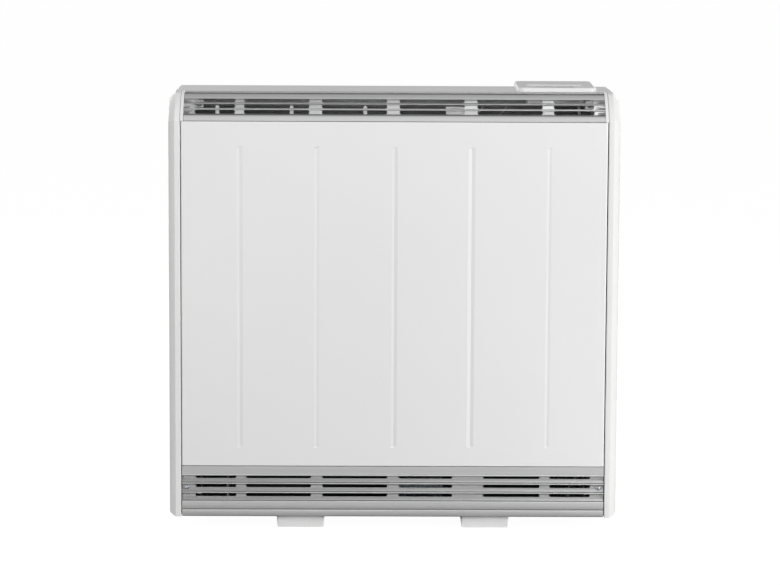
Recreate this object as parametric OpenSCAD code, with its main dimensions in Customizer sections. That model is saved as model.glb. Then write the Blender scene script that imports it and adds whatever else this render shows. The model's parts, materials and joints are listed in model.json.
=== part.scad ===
// Storage heater: a brick core behind a sheet steel front, with a louvred grille above and below it.
// The origin is on the floor under the middle of the casing. X is to the right, the front faces -Y.

/* [Casing] */
// Width over both end caps
casing_w = 710; // [700:5:900]
// Depth from the front panel to the wall
casing_d = 195; // [190:1:215]
// Height of the flat top above the floor
casing_top = 694; // [660:1:800]
// Height of the feet, which is the clear space under the casing
foot_h = 20; // [18:1:40]
// Space kept between the back panel and the wall
wall_space = 8; // [7:0.5:12]
// Thickness of the steel sheet of the casing
sheet = 1.2; // [1:0.1:1.5]
// Gap that shows between the front panels
panel_gap = 1; // [0.6:0.1:1.5]
// Gap between pieces that sit on each other
seat = 0.3; // [0.2:0.05:0.5]

/* [End caps] */
// Width of an end cap seen from the front
cap_w = 19; // [18:0.5:26]
// Wall of an end cap
cap_wall = 2.2; // [1.6:0.1:3]
// Width of the bevelled outer edge of an end cap
cap_round = 10; // [7:0.5:11]
// Depth of the bevelled outer edge of an end cap
cap_edge_d = 12.5; // [9:0.5:14]

/* [Sloping top] */
// Depth of the slope that carries the top grille
slope_run = 50; // [48:1:56]
// Height of the slope that carries the top grille
slope_rise = 44; // [43:0.5:48]
// How far the slope swells out between its two ends
slope_bulge = 4; // [3:0.5:6]
// Height of the folded front edge of the top panel
lip_h = 2.8; // [2:0.1:3.2]
// Width of the top panel's strip at each end of the top grille
strip_w = 4.7; // [3.5:0.1:6]

/* [Front panel] */
// Depth of the folded edges of the front panel and the lower grille
front_return = 12; // [10.5:0.5:14]
// Radius of the folded side edges
fold_r = 2.5; // [1.8:0.1:4]
// Number of pressed flutes
flutes = 5; // [1:1:5]
// Distance between flutes
flute_pitch = 121.75; // [100:0.25:130]
// Width of a flute
flute_w = 11; // [8:0.5:14]
// Depth of a flute
flute_depth = 0.9; // [0.6:0.1:1.5]
// Plain panel left above and below a flute
flute_margin = 29; // [16:1:56]
// Length over which the end of a flute runs out
flute_runout = 3; // [2:0.5:8]

/* [Top grille] */
// Height of the plain band above the slots
top_band_h = 7.2; // [6.8:0.2:9]
// Height of the plain band below the slots
low_band_h = 9.8; // [8:0.2:11]
// Thickness of a blade
blade_t = 2; // [1.8:0.1:3]
// Overhang of a blade in front of the slotted wall below it
blade_reach = 3.5; // [3:0.1:4.5]
// Extra depth of the slotted wall at its lower edge
wall_lean = 4.5; // [3:0.5:5.5]
// Wall of the grille sections
grille_wall = 1.7; // [1.4:0.1:2]
// Length of a long slot
slot_l = 103; // [80:1:106]
// Distance between long slots
slot_pitch = 122.3; // [120:0.1:124]
// Sideways offset of the four long slots
slot_shift = -1.8; // [-4:0.2:4]
// Web between the long slots and an end slot
end_web = 15.4; // [12:0.2:20]
// Plain length left outside an end slot
end_margin = 16.5; // [14:0.5:24]

/* [Lower grille] */
// Height of the lower grille
low_grille_h = 82; // [80:0.5:84]
// Height of the plain band above the slots
upper_lip_h = 14.1; // [13:0.1:16]
// Distance between the blades
blade_pitch = 14.6; // [13.8:0.1:14.8]
// Depth of the channels between the blades
channel_depth = 6; // [5:0.5:7]
// Depth of the channels at their lower edge
channel_lower = 2.6; // [2:0.1:3.4]
// Thickness of a blade of the lower grille
low_blade_t = 2; // [1.6:0.1:2.4]
// Height of a slot
low_slot_h = 5; // [4:0.2:5.6]
// Distance between long slots
low_pitch = 121.2; // [118:0.2:124]
// Length of a long slot
low_slot_l = 103.5; // [90:0.5:108]
// Middle of the blank stretch beside the fan motor
blank_x = 118.8; // [100:0.2:130]
// Width of the blank stretch
blank_w = 48.8; // [30:0.2:60]

/* [Feet] */
// Distance between the middles of the feet
foot_span = 294; // [240:1:340]
// Width of a foot at the top
foot_w = 77; // [60:1:90]
// Depth of a foot
foot_d = 132; // [110:1:140]
// Draft of the sides of a foot over its height
foot_draft = 2; // [1:0.1:3]
// Distance of the feet behind the front panel
foot_setback = 16; // [13:1:24]
// Wall of a foot
foot_wall = 2.5; // [2:0.1:3.5]

/* [Wall fixing] */
// Length of the wall bracket
bracket_l = 460; // [420:5:560]
// Distance of its middle below the flat top
bracket_drop = 130; // [100:5:200]
// Distance between the wall screws, sideways
bracket_hole_x = 400; // [300:5:400]
// Distance between the wall screws, up and down
bracket_hole_z = 60; // [54:1:70]
// Diameter of the wall screw holes
bracket_hole_d = 7; // [5:0.5:8]
// Diameter of the supply cable that fits the grommet
cable_d = 10; // [8:0.5:11]

/* [Core] */
// Courses of bricks from bottom to top
courses = 5; // [5:1:5]
// Thickness of the front insulation
front_ins = 20; // [16:1:24]
// Thickness of the rear insulation
rear_ins = 25; // [20:1:28]
// Thickness of the insulation at the sides and below
side_ins = 25; // [23:1:28]
// Thickness of the insulation above the bricks
top_ins = 28; // [24:1:32]
// Width of the wiring space at each side of the core
side_room = 29; // [27:1:32]
// Height of the space above the core
top_room = 80; // [78:1:100]
// Diameter of a sheathed heating element
element_d = 8; // [6.5:0.5:8.5]
// Radius of the bend of a heating element
element_bend = 15; // [12:0.5:15]
// Width of an air channel in the bricks
duct_w = 36; // [24:1:44]
// Depth of an air channel in one brick
duct_depth = 6; // [4:0.5:8]

/* [Fan and damper] */
// Outer diameter of the fan rotor
rotor_d = 46; // [40:1:48]
// Length of the fan rotor
rotor_l = 260; // [200:5:265]
// Number of blades of the fan rotor
rotor_blades = 24; // [12:1:30]
// Diameter of the fan shaft
shaft_d = 6; // [5:0.5:7]
// Running clearance of shafts in their bearings
run_fit = 0.05; // [0.02:0.01:0.1]
// Length of the fan motor
motor_l = 74; // [60:1:80]
// Width of the damper flap
flap_w = 44; // [38:1:48]
// Diameter of the damper pivot
pivot_d = 5; // [4:0.5:6]

/* [Console] */
// Width of the control console
console_w = 125; // [118:1:126]
// Depth of the control console
console_d = 129; // [124:1:131]
// Strip of the top left free between the console and the right end cap
console_margin = 16; // [13:1:25]
// Height of the console at its front edge
console_front_h = 6.6; // [5.6:0.1:7]
// Height of the console at its rear edge
console_rear_h = 9.5; // [8:0.1:11]
// Corner radius of the console
console_r = 11; // [8:0.5:14]
// Rounding of the console's upper edge
console_edge = 3.6; // [2:0.1:4]
// Width of the recess with the display and the buttons
recess_w = 90; // [88:1:94]
// Depth from front to rear of that recess
recess_d = 52; // [50:1:56]
// Width of the display window
display_w = 58; // [50:1:62]
// Depth from front to rear of the display window
display_d = 28; // [24:1:28]
// Width of a button
button_w = 11.4; // [9:0.2:12]
// Depth from front to rear of a button
button_d = 7.4; // [6:0.2:7.8]
// Distance between the buttons
button_pitch = 16.5; // [15.6:0.1:17]
// Clearance round a button
button_gap = 0.3; // [0.25:0.05:0.4]
// Travel of a button
button_travel = 0.8; // [0.5:0.1:1]

/* [Hidden] */

// Colours
white_paint = "#e9ebea";
cap_white = "#e4e3df";
alu_grey = "#c3c4c4";
zinc = "#a9adb0";
dark_grey = "#4a4d50";
brick_red = "#6b4a3e";
wool = "#d9d2bf";

// Main planes
front_y = -casing_d / 2;
rear_y = casing_d / 2;
half_w = casing_w / 2;
body_half = half_w - cap_w;
panel_half = body_half - panel_gap;
slope_z = casing_top - slope_rise;
low_grille_top = foot_h + low_grille_h;
panel_bottom = low_grille_top + panel_gap / 2;
panel_top = slope_z - panel_gap / 2;
back_y = rear_y - wall_space - sheet;
side_front_y = front_y + front_return + seat;
side_x = body_half - sheet;
flange_w = 14;
arc_steps = 12;
round_fn = 48;

// Slope: a circular arc from the top of the front panel to the fold of the top panel
slope_chord = norm([slope_run, slope_rise]);
slope_r = slope_chord * slope_chord / (8 * slope_bulge) + slope_bulge / 2;
slope_cy = front_y + slope_run / 2 + (slope_r - slope_bulge) * slope_rise / slope_chord;
slope_cz = casing_top - slope_rise / 2 - (slope_r - slope_bulge) * slope_run / slope_chord;

function slope_y(z, inset = 0) =
    slope_cy - sqrt(pow(slope_r - inset, 2) - pow(z - slope_cz, 2));
function slope_point(z, inset = 0) = [slope_y(z, inset), z];
// Stretch of the slope between two heights, inset from the outer face
function slope_path(z_from, z_to, inset = 0, steps = arc_steps) =
    [for (k = [0:steps]) slope_point(z_from + (z_to - z_from) * k / steps, inset)];
function slope_foot_z(inset) =
    slope_cz + sqrt(pow(slope_r - inset, 2) - pow(front_y + inset - slope_cy, 2));

// Side outline of the casing as a closed path, inset along the front, the slope and the top
function side_outline(inset, bottom, rear, steps = arc_steps) = concat(
    [[front_y + inset, bottom]],
    slope_path(slope_foot_z(inset), casing_top - inset, inset, steps),
    [[rear, casing_top - inset], [rear, bottom]]
);

function reversed(path) = [for (k = [len(path) - 1:-1:0]) path[k]];
function circle_path(r, from, to, steps, c = [0, 0]) =
    [for (k = [0:steps]) c + r * [cos(from + (to - from) * k / steps),
                                  sin(from + (to - from) * k / steps)]];
function stadium(l, w, steps = 8) = concat(
    circle_path(w / 2, -90, 90, steps, [(l - w) / 2, 0]),
    circle_path(w / 2, 90, 270, steps, [(w - l) / 2, 0])
);
function rounded_rect(w, d, r, steps = 5) = concat(
    circle_path(r, 0, 90, steps, [w / 2 - r, d / 2 - r]),
    circle_path(r, 90, 180, steps, [r - w / 2, d / 2 - r]),
    circle_path(r, 180, 270, steps, [r - w / 2, r - d / 2]),
    circle_path(r, 270, 360, steps, [w / 2 - r, r - d / 2])
);

// Solid through a stack of rings that have the same number of points
module loft(rings) {
    n = len(rings[0]);
    last = len(rings) - 1;
    points = [for (ring = rings) each ring];
    sides = [for (k = [0:last - 1], i = [0:n - 1])
        [k * n + i, k * n + (i + 1) % n, (k + 1) * n + (i + 1) % n, (k + 1) * n + i]];
    start = [for (i = [n - 1:-1:0]) i];
    end = [for (i = [0:n - 1]) last * n + i];
    polyhedron(points = points, faces = concat(sides, [start], [end]), convexity = 4);
}

// A side view outline, given as [y, z], drawn out along X between two places
module drawn_x(x_from, x_to) {
    translate([x_from, 0, 0])
        rotate([90, 0, 90])
            linear_extrude(x_to - x_from)
                children();
}

module block(low, high) {
    translate(low)
        cube(high - low);
}

// A screw with its head towards -Y and its shank along +Y
module screw_y(head_r, head_h, shank_r, shank_l) {
    rotate([90, 0, 0]) {
        cylinder(h = head_h, r1 = head_r, r2 = head_r * 0.7, $fn = round_fn);
        translate([0, 0, -shank_l])
            cylinder(h = shank_l, r = shank_r, $fn = round_fn);
    }
}

screw_r = 1.8;
screw_hole_r = screw_r + 0.2;
screw_head_r = 3.4;
screw_head_h = 2;

// End caps ---------------------------------------------------------------------------------------
cap_inner_x = body_half + seat;
cap_lead = 1.2;
cap_boss_r = 4.5;
cap_boss_z = [foot_h + 70, (foot_h + slope_z) / 2, slope_z - 40];
cap_boss_y = front_y + casing_d * 0.42;
// Bevel of the outer edge: shares of its width and of its depth, from the face outwards
cap_bevel = [[0, 0], [0.5, 0.36], [0.8, 0.66], [0.93, 0.84], [1, 1]];

function cap_ring(x, inset, bottom, rear) =
    [for (p = side_outline(inset, bottom, rear)) [x, p[0], p[1]]];

module cap_body(wall) {
    loft(concat(
        [cap_ring(cap_inner_x - (wall > 0 ? 1 : 0), wall + (wall > 0 ? 0 : cap_lead),
                  foot_h + wall, rear_y - wall)],
        wall > 0 ? [] : [cap_ring(cap_inner_x + cap_lead, 0, foot_h, rear_y)],
        [for (p = cap_bevel)
            let (inset = (cap_edge_d - wall) * p[1])
            cap_ring(half_w - cap_round + (cap_round - wall) * p[0], wall + inset,
                     foot_h + wall + inset / 2, rear_y - wall)]
    ));
}

module cap_rib(z) {
    block([cap_inner_x, front_y + cap_wall, z - cap_wall / 2],
          [half_w - cap_wall, rear_y - cap_wall, z + cap_wall / 2]);
}

module right_cap_shape() {
    difference() {
        union() {
            difference() {
                cap_body(0);
                cap_body(cap_wall);
            }
            intersection() {
                cap_body(cap_wall * 0.9);
                for (z = cap_boss_z) {
                    cap_rib(z);
                    translate([cap_inner_x, cap_boss_y, z])
                        rotate([0, 90, 0])
                            cylinder(h = cap_w, r = cap_boss_r, $fn = 32);
                }
            }
        }
        for (z = cap_boss_z)
            translate([cap_inner_x - 1, cap_boss_y, z])
                rotate([0, 90, 0])
                    cylinder(h = cap_w - 6, r = screw_hole_r, $fn = 32);
    }
}

module right_end_cap() {
    color(cap_white)
        right_cap_shape();
}

module left_end_cap() {
    color(cap_white)
        mirror([1, 0, 0])
            right_cap_shape();
}

module cap_screws() {
    color(zinc)
        for (side = [-1, 1], z = cap_boss_z)
            translate([side * (side_x - seat / 2), cap_boss_y, z])
                rotate([0, 0, side * -90])
                    screw_y(screw_head_r, screw_head_h, screw_r, 11);
}

// Top panel --------------------------------------------------------------------------------------
top_fold_y = front_y + slope_run;
lip_r = 1.5;
rear_lip_h = 14;
cutout_clear = 1;
strip_drop = 9;

module top_panel() {
    color(white_paint)
        difference() {
            union() {
                drawn_x(-body_half, body_half)
                    polygon(concat(
                        [[top_fold_y, casing_top - lip_h]],
                        circle_path(lip_r, 180, 90, 4, [top_fold_y + lip_r, casing_top - lip_r]),
                        [[rear_y, casing_top], [rear_y, casing_top - rear_lip_h],
                         [rear_y - sheet, casing_top - rear_lip_h],
                         [rear_y - sheet, casing_top - sheet],
                         [top_fold_y + sheet, casing_top - sheet],
                         [top_fold_y + sheet, casing_top - lip_h]]
                    ));
                for (side = [-1, 1])
                    scale([side, 1, 1])
                        top_strip();
            }
            translate([recess_x, recess_y, casing_top])
                linear_extrude(4 * sheet, center = true)
                    polygon(rounded_rect(tub_w + 2 * cutout_clear, tub_d + 2 * cutout_clear, 4));
        }
}

// Strip of the top panel that runs down the slope beside the grille, with its turned-in edge
module top_strip() {
    drawn_x(body_half - strip_w, body_half)
        polygon(concat(
            slope_path(slope_z, casing_top - lip_h / 2, 0),
            [[top_fold_y + sheet, casing_top - sheet / 2]],
            reversed(slope_path(slope_z, casing_top - lip_h, sheet))
        ));
    drawn_x(body_half - strip_w, body_half - strip_w + sheet)
        polygon(concat(
            slope_path(slope_z, casing_top - lip_h / 2, 0),
            [[top_fold_y + sheet, casing_top - sheet / 2]],
            reversed(slope_path(slope_z, casing_top - strip_drop, strip_drop))
        ));
}

// Front panel ------------------------------------------------------------------------------------
flute_lift = 10;
flute_bottom = panel_bottom + flute_margin;
flute_top = panel_top - flute_margin - flute_lift;

// Folded sheet seen from above, open towards the rear
function folded_path(half, depth, r, inset) = concat(
    [[-half + inset, front_y + depth]],
    circle_path(r - inset, 180, 270, 4, [r - half, front_y + r]),
    circle_path(r - inset, 270, 360, 4, [half - r, front_y + r]),
    [[half - inset, front_y + depth]]
);

// Shallow V with short ramps at its ends
module flute(extra) {
    half = flute_w / 2 + extra;
    loft([for (p = [[flute_bottom - extra, 0], [flute_bottom - extra + flute_runout, 1],
                    [flute_top + extra - flute_runout, 1], [flute_top + extra, 0]])
        [[-half, front_y - 1, p[0]], [-half, front_y + extra, p[0]],
         [0, front_y + extra + flute_depth * p[1], p[0]],
         [half, front_y + extra, p[0]], [half, front_y - 1, p[0]]]]);
}

module front_panel() {
    back_face = [2 * panel_half, 10, panel_top - panel_bottom];
    color(white_paint)
        difference() {
            union() {
                translate([0, 0, panel_bottom])
                    linear_extrude(panel_top - panel_bottom)
                        polygon(concat(folded_path(panel_half, front_return, fold_r, 0),
                                       reversed(folded_path(panel_half, front_return, fold_r, sheet))));
                for (z = [panel_bottom, panel_top - sheet])
                    block([-panel_half + sheet, front_y + sheet / 2, z],
                          [panel_half - sheet, front_y + front_return, z + sheet]);
                intersection() {
                    for (k = [0:flutes - 1])
                        translate([(k - (flutes - 1) / 2) * flute_pitch, 0, 0])
                            flute(sheet);
                    translate([-panel_half, front_y + sheet / 2, panel_bottom])
                        cube(back_face);
                }
            }
            for (k = [0:flutes - 1])
                translate([(k - (flutes - 1) / 2) * flute_pitch, 0, 0])
                    flute(0);
        }
}

// Top grille -------------------------------------------------------------------------------------
// A drawn aluminium section: two plain bands and two blades, with a slotted wall behind the blades
grille_half = body_half - strip_w - 0.5;
grille_top = casing_top - lip_h - panel_gap;
grille_bottom = slope_z + 0.4;
grille_tuck = 11;
slots_top = grille_top - top_band_h;
slots_bottom = grille_bottom + low_band_h;
row_h = (slots_top - slots_bottom - 2 * blade_t) / 3;
nose_steps = 6;

// Top of each of the three slotted walls
function wall_top_z(row) = slots_top - row * (row_h + blade_t);
function wall_bottom_z(row) = wall_top_z(row) - row_h;
function blade_nose(row) =
    let (z = wall_bottom_z(row) - blade_t / 2)
    circle_path(blade_t / 2, 90, 270, nose_steps, [slope_y(z) + blade_t / 2, z]);
function wall_top_y(row) = slope_y(wall_top_z(row)) + blade_reach;
function wall_bottom_y(row) = slope_y(wall_bottom_z(row)) + blade_reach + wall_lean;

function grille_front_path() = concat(
    [[slope_y(grille_top) + grille_tuck, grille_top]],
    slope_path(grille_top, slots_top),
    [[wall_top_y(0), slots_top], [wall_bottom_y(0), wall_bottom_z(0)]],
    blade_nose(0),
    [[wall_top_y(1), wall_top_z(1)], [wall_bottom_y(1), wall_bottom_z(1)]],
    blade_nose(1),
    [[wall_top_y(2), wall_top_z(2)], [wall_bottom_y(2), slots_bottom]],
    slope_path(slots_bottom, grille_bottom),
    [[slope_y(grille_bottom) + grille_tuck, grille_bottom]]
);

function grille_back_path() = concat(
    [[slope_y(grille_top) + grille_tuck, grille_top - grille_wall]],
    slope_path(grille_top - grille_wall, slots_top + grille_wall, grille_wall),
    [for (row = [0:2]) each [
        [wall_top_y(row) + grille_wall, wall_top_z(row) + (row == 0 ? grille_wall : 0)],
        [wall_bottom_y(row) + grille_wall, wall_bottom_z(row) - (row == 2 ? grille_wall : blade_t)]]],
    slope_path(slots_bottom - grille_wall, grille_bottom + grille_wall, grille_wall),
    [[slope_y(grille_bottom) + grille_tuck, grille_bottom + grille_wall]]
);

long_slot_end = 1.5 * slot_pitch + slot_l / 2;
end_slot_from = long_slot_end + end_web;
end_slot_to = grille_half - end_margin;

// Start and end of each slot along the grille
top_slots = concat(
    [for (k = [0:3]) let (x = slot_shift + (k - 1.5) * slot_pitch) [x - slot_l / 2, x + slot_l / 2]],
    [[-end_slot_to, -end_slot_from], [end_slot_from, end_slot_to]]
);

module top_grille_slots(row) {
    lean = atan2(row_h, wall_bottom_y(row) - wall_top_y(row));
    middle_y = (wall_top_y(row) + wall_bottom_y(row) + grille_wall) / 2;
    middle_z = wall_top_z(row) - row_h / 2;
    translate([0, middle_y, middle_z])
        rotate([180 - lean, 0, 0])
            linear_extrude(1.6 * grille_wall, center = true)
                for (s = top_slots)
                    translate([(s[0] + s[1]) / 2, 0])
                        polygon(stadium(s[1] - s[0], row_h - 0.1));
}

module top_grille() {
    color(alu_grey)
        difference() {
            drawn_x(-grille_half, grille_half)
                polygon(concat(grille_front_path(), reversed(grille_back_path())));
            for (row = [0:2])
                top_grille_slots(row);
        }
}

// Lower grille -----------------------------------------------------------------------------------
low_top = low_grille_top - panel_gap / 2;
lip_z = low_top - upper_lip_h;
cove_steps = 6;
underside_d = front_return;
plinth_groove = 1.4;
plinth_groove_z = foot_h + 12.4;
toe_h = 5;
lip_over = 1.2;
crease_d = 0.9;
crease_h = 1.1;

// Slotted wall of a channel: it curves forward towards the crease above the next blade
function channel_z(row) = lip_z - row * blade_pitch;
function cove(row, inset) =
    let (top = channel_z(row), height = blade_pitch - low_blade_t - crease_h)
    [for (k = [0:cove_steps])
        let (t = k / cove_steps)
        [front_y + inset + channel_depth - (channel_depth - channel_lower) * t * t,
         top - height * t]];

function low_blade_nose(row) =
    let (z = channel_z(row) + low_blade_t / 2 - (row == 0 ? lip_over : 0))
    circle_path(low_blade_t / 2, 90, 270, nose_steps, [front_y + low_blade_t / 2, z]);

plinth_top = channel_z(3) + low_blade_t;

function crease(row) =
    let (z = channel_z(row) - blade_pitch + low_blade_t, y = front_y + channel_lower + crease_d)
    [[y, z + crease_h - 0.3], [y, z]];

function low_front_path() = concat(
    [[front_y + front_return, low_top], [front_y + 1, low_top], [front_y + 0.3, low_top - 0.6],
     [front_y + 0.3, lip_z + low_blade_t]],
    [for (row = [0:2]) each concat(low_blade_nose(row), cove(row, 0), crease(row))],
    [[front_y + 0.8, plinth_top], [front_y, plinth_top - 1], [front_y, plinth_groove_z + 2],
     [front_y + plinth_groove, plinth_groove_z + 1], [front_y + plinth_groove, plinth_groove_z - 1],
     [front_y + 0.3, plinth_groove_z - 2], [front_y + 0.3, foot_h + toe_h],
     [front_y + 1.6, foot_h + 1.6], [front_y + toe_h, foot_h], [front_y + underside_d, foot_h]]
);

function low_back_path() = concat(
    [[front_y + front_return, low_top - grille_wall],
     [front_y + grille_wall + 0.4, low_top - grille_wall],
     [front_y + grille_wall + 0.4, lip_z + grille_wall]],
    [for (row = [0:2]) each [for (p = cove(row, grille_wall)) p]],
    [[front_y + grille_wall + plinth_groove, plinth_top - grille_wall],
     [front_y + grille_wall + plinth_groove, foot_h + toe_h],
     [front_y + toe_h + 0.6, foot_h + grille_wall],
     [front_y + underside_d, foot_h + grille_wall]]
);

blank_from = blank_x - blank_w / 2;
blank_to = blank_x + blank_w / 2;
low_end_from = 1.5 * low_pitch + low_slot_l / 2 + end_web;
low_end_to = panel_half - strip_w - end_margin;

// Start and end of each slot; the two beside the blank stretch are cut short
low_slots = concat(
    [for (k = [0:3])
        let (x = (k - 1.5) * low_pitch, a = x - low_slot_l / 2, b = x + low_slot_l / 2)
        x < blank_x ? [a, min(b, blank_from)] : [max(a, blank_to), b]],
    [[-low_end_to, -low_end_from], [low_end_from, low_end_to]]
);

grille_screw_x = body_half - flange_w / 2 - 2;
grille_screw_z = channel_z(1) - 6;
grille_screw_y = front_y + channel_depth - 2;

module bottom_grille() {
    color(alu_grey)
        difference() {
            drawn_x(-panel_half, panel_half)
                polygon(concat(low_front_path(), reversed(low_back_path())));
            for (row = [0:2], s = low_slots)
                translate([(s[0] + s[1]) / 2, front_y + channel_depth, channel_z(row) - low_slot_h / 2 - 1])
                    rotate([90, 0, 0])
                        linear_extrude(3 * grille_wall, center = true)
                            polygon(stadium(s[1] - s[0], low_slot_h));
            for (side = [-1, 1])
                translate([side * grille_screw_x, front_y, grille_screw_z])
                    rotate([-90, 0, 0])
                        cylinder(h = front_return, r = screw_hole_r, $fn = round_fn);
        }
}

module bottom_grille_screws() {
    color(zinc)
        for (side = [-1, 1])
            translate([side * grille_screw_x, grille_screw_y - 1.2, grille_screw_z])
                screw_y(screw_head_r * 0.8, screw_head_h * 0.6, screw_r, 12);
}

// Frame of the casing ----------------------------------------------------------------------------
side_bottom = foot_h + sheet + seat;
side_top_inset = strip_drop + seat;

module side_panel_shape() {
    difference() {
        union() {
            drawn_x(side_x, side_x + sheet)
                intersection() {
                    polygon(side_outline(lip_h + seat, side_bottom, back_y - seat));
                    translate([side_front_y, 0])
                        square([casing_d, casing_top]);
                }
            block([side_x - flange_w, side_front_y, side_bottom],
                  [side_x + sheet / 2, side_front_y + sheet, slope_z - side_top_inset]);
            block([side_x - flange_w, back_y - seat - sheet, side_bottom],
                  [side_x + sheet / 2, back_y - seat, casing_top - rear_lip_h]);
        }
        for (z = cap_boss_z)
            translate([side_x - 1, cap_boss_y, z])
                rotate([0, 90, 0])
                    cylinder(h = 4, r = screw_hole_r, $fn = round_fn);
        translate([grille_screw_x, side_front_y - 1, grille_screw_z])
            rotate([-90, 0, 0])
                cylinder(h = 4, r = screw_hole_r, $fn = round_fn);
    }
}

module right_side_panel() {
    color(zinc)
        side_panel_shape();
}

module left_side_panel() {
    color(zinc)
        mirror([1, 0, 0])
            side_panel_shape();
}

bracket_z = casing_top - bracket_drop;
bracket_web_h = 36;
bracket_flange = 22;
swage_z = [foot_h + 170, casing_top - 260];
swage_margin = 60;
vent_pitch = 30;
fixing_inset = 60;
fixing_x = bracket_hole_x / 2 - fixing_inset;

module back_panel() {
    color(zinc)
        difference() {
            union() {
                block([-body_half + seat, back_y, foot_h + sheet + seat],
                      [body_half - seat, back_y + sheet, casing_top - sheet - seat]);
                for (z = swage_z)
                    back_swage(z);
            }
            for (z = swage_z)
                translate([0, -sheet, 0])
                    back_swage(z);
            for (side = [-1, 1])
                translate([side * fixing_x, back_y - 1, bracket_z])
                    rotate([-90, 0, 0])
                        cylinder(h = 5, r = screw_hole_r, $fn = round_fn);
            translate([grommet_x, back_y - 1, grommet_z])
                rotate([-90, 0, 0])
                    cylinder(h = 5, r = grommet_neck_r, $fn = round_fn);
            for (k = [-9:9])
                translate([k * vent_pitch, back_y, foot_h + 52])
                    rotate([90, 0, 0])
                        linear_extrude(6, center = true)
                            polygon(stadium(22, 5));
        }
}

// Pressed stiffening bead across the back
module back_swage(z) {
    bead_h = 18;
    bead_rise = 3;
    drawn_x(swage_margin - body_half, body_half - swage_margin)
        translate([back_y + sheet, z])
            polygon([[0, -bead_h / 2], [bead_rise, bead_rise - bead_h / 2],
                     [bead_rise, bead_h / 2 - bead_rise], [0, bead_h / 2],
                     [-sheet / 2, bead_h / 2], [-sheet / 2, -bead_h / 2]]);
}

module wall_bracket() {
    half_web = bracket_web_h / 2;
    near = back_y + sheet + seat;
    wall_z = half_web + bracket_flange;
    color(zinc)
        difference() {
            drawn_x(-bracket_l / 2, bracket_l / 2)
                translate([0, bracket_z])
                    polygon([[near, -half_web], [rear_y - sheet, -half_web],
                             [rear_y - sheet, -wall_z], [rear_y, -wall_z],
                             [rear_y, sheet - half_web], [near + sheet, sheet - half_web],
                             [near + sheet, half_web - sheet], [rear_y, half_web - sheet],
                             [rear_y, wall_z], [rear_y - sheet, wall_z],
                             [rear_y - sheet, half_web], [near, half_web]]);
            for (x = [-1, 1], z = [-1, 1])
                translate([x * bracket_hole_x / 2, rear_y - 5, bracket_z + z * bracket_hole_z / 2])
                    rotate([-90, 0, 0])
                        cylinder(h = 10, r = bracket_hole_d / 2, $fn = round_fn);
            for (side = [-1, 1])
                translate([side * fixing_x, back_y, bracket_z])
                    rotate([-90, 0, 0])
                        cylinder(h = wall_space, r = screw_hole_r, $fn = round_fn);
        }
}

tray_upstand = 16;

module base_tray() {
    color(zinc)
        difference() {
            union() {
                block([seat - side_x, side_front_y, foot_h],
                      [side_x - seat, back_y - seat, foot_h + sheet]);
                for (side = [-1, 1])
                    scale([side, 1, 1])
                        block([side_x - seat - sheet, side_front_y + 2 * sheet, foot_h],
                              [side_x - seat, back_y - 3 * sheet, foot_h + tray_upstand]);
            }
            for (k = [-8:8], y = [fan_y - 6, fan_y + 10])
                translate([k * vent_pitch - 10, y, foot_h])
                    linear_extrude(4 * sheet, center = true)
                        polygon(stadium(22, 6));
            for (side = [-1, 1], y = foot_screw_y)
                translate([side * foot_span / 2, y, foot_h - 1])
                    cylinder(h = 4, r = screw_hole_r, $fn = round_fn);
        }
}

// Feet -------------------------------------------------------------------------------------------
foot_front = front_y + foot_setback;
foot_top = foot_h - seat / 3;
foot_skin = 3;
foot_screw_inset = 26;
foot_screw_y = [foot_front + foot_screw_inset, foot_front + foot_d - foot_screw_inset];

// Drafted block: one trapezium seen from the front, crossed with one seen from the side
module foot_block(w, d, top, front_top) {
    intersection() {
        translate([0, casing_d, 0])
            rotate([90, 0, 0])
                linear_extrude(2 * casing_d)
                    polygon([[foot_draft - w / 2, 0], [w / 2 - foot_draft, 0],
                             [w / 2, top], [-w / 2, top]]);
        drawn_x(-w, w)
            polygon([[front_top + foot_draft, 0], [front_top + d - foot_draft, 0],
                     [front_top + d, top], [front_top, top]]);
        translate([0, front_top + d / 2, 0])
            linear_extrude(top)
                polygon(rounded_rect(w, d, 6));
    }
}

module foot_shape() {
    difference() {
        foot_block(foot_w, foot_d, foot_top, foot_front);
        difference() {
            translate([0, 0, foot_wall])
                foot_block(foot_w - 2 * foot_wall, foot_d - 2 * foot_wall, foot_top, foot_front + foot_wall);
            for (y = foot_screw_y)
                translate([0, y, 0])
                    cylinder(h = foot_h + 5, r = 8, $fn = round_fn);
        }
        for (y = foot_screw_y)
            translate([0, y, -1]) {
                cylinder(h = foot_h + 5, r = screw_hole_r, $fn = round_fn);
                cylinder(h = foot_h - foot_skin + 1, r = screw_head_r + 0.6, $fn = round_fn);
            }
    }
}

module left_foot() {
    color(cap_white)
        translate([-foot_span / 2, 0, 0])
            foot_shape();
}

module right_foot() {
    color(cap_white)
        translate([foot_span / 2, 0, 0])
            foot_shape();
}

module foot_screws() {
    color(zinc)
        for (side = [-1, 1], y = foot_screw_y)
            translate([side * foot_span / 2, y, foot_h - foot_skin - seat / 2])
                rotate([90, 0, 0])
                    screw_y(screw_head_r, screw_head_h, screw_r, 8);
}

// Pieces behind the top grille ---------------------------------------------------------------------
rail_y = front_y + 36;
rail_low = slope_z - 14;
rail_high = slope_z + 2;
rail_tab_w = 6;
rail_tab_top = slope_z + 22.5;
rail_tab_x = [-279, -162, -46];
rail_plate_x = 81;
rail_plate_w = 46;

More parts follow.
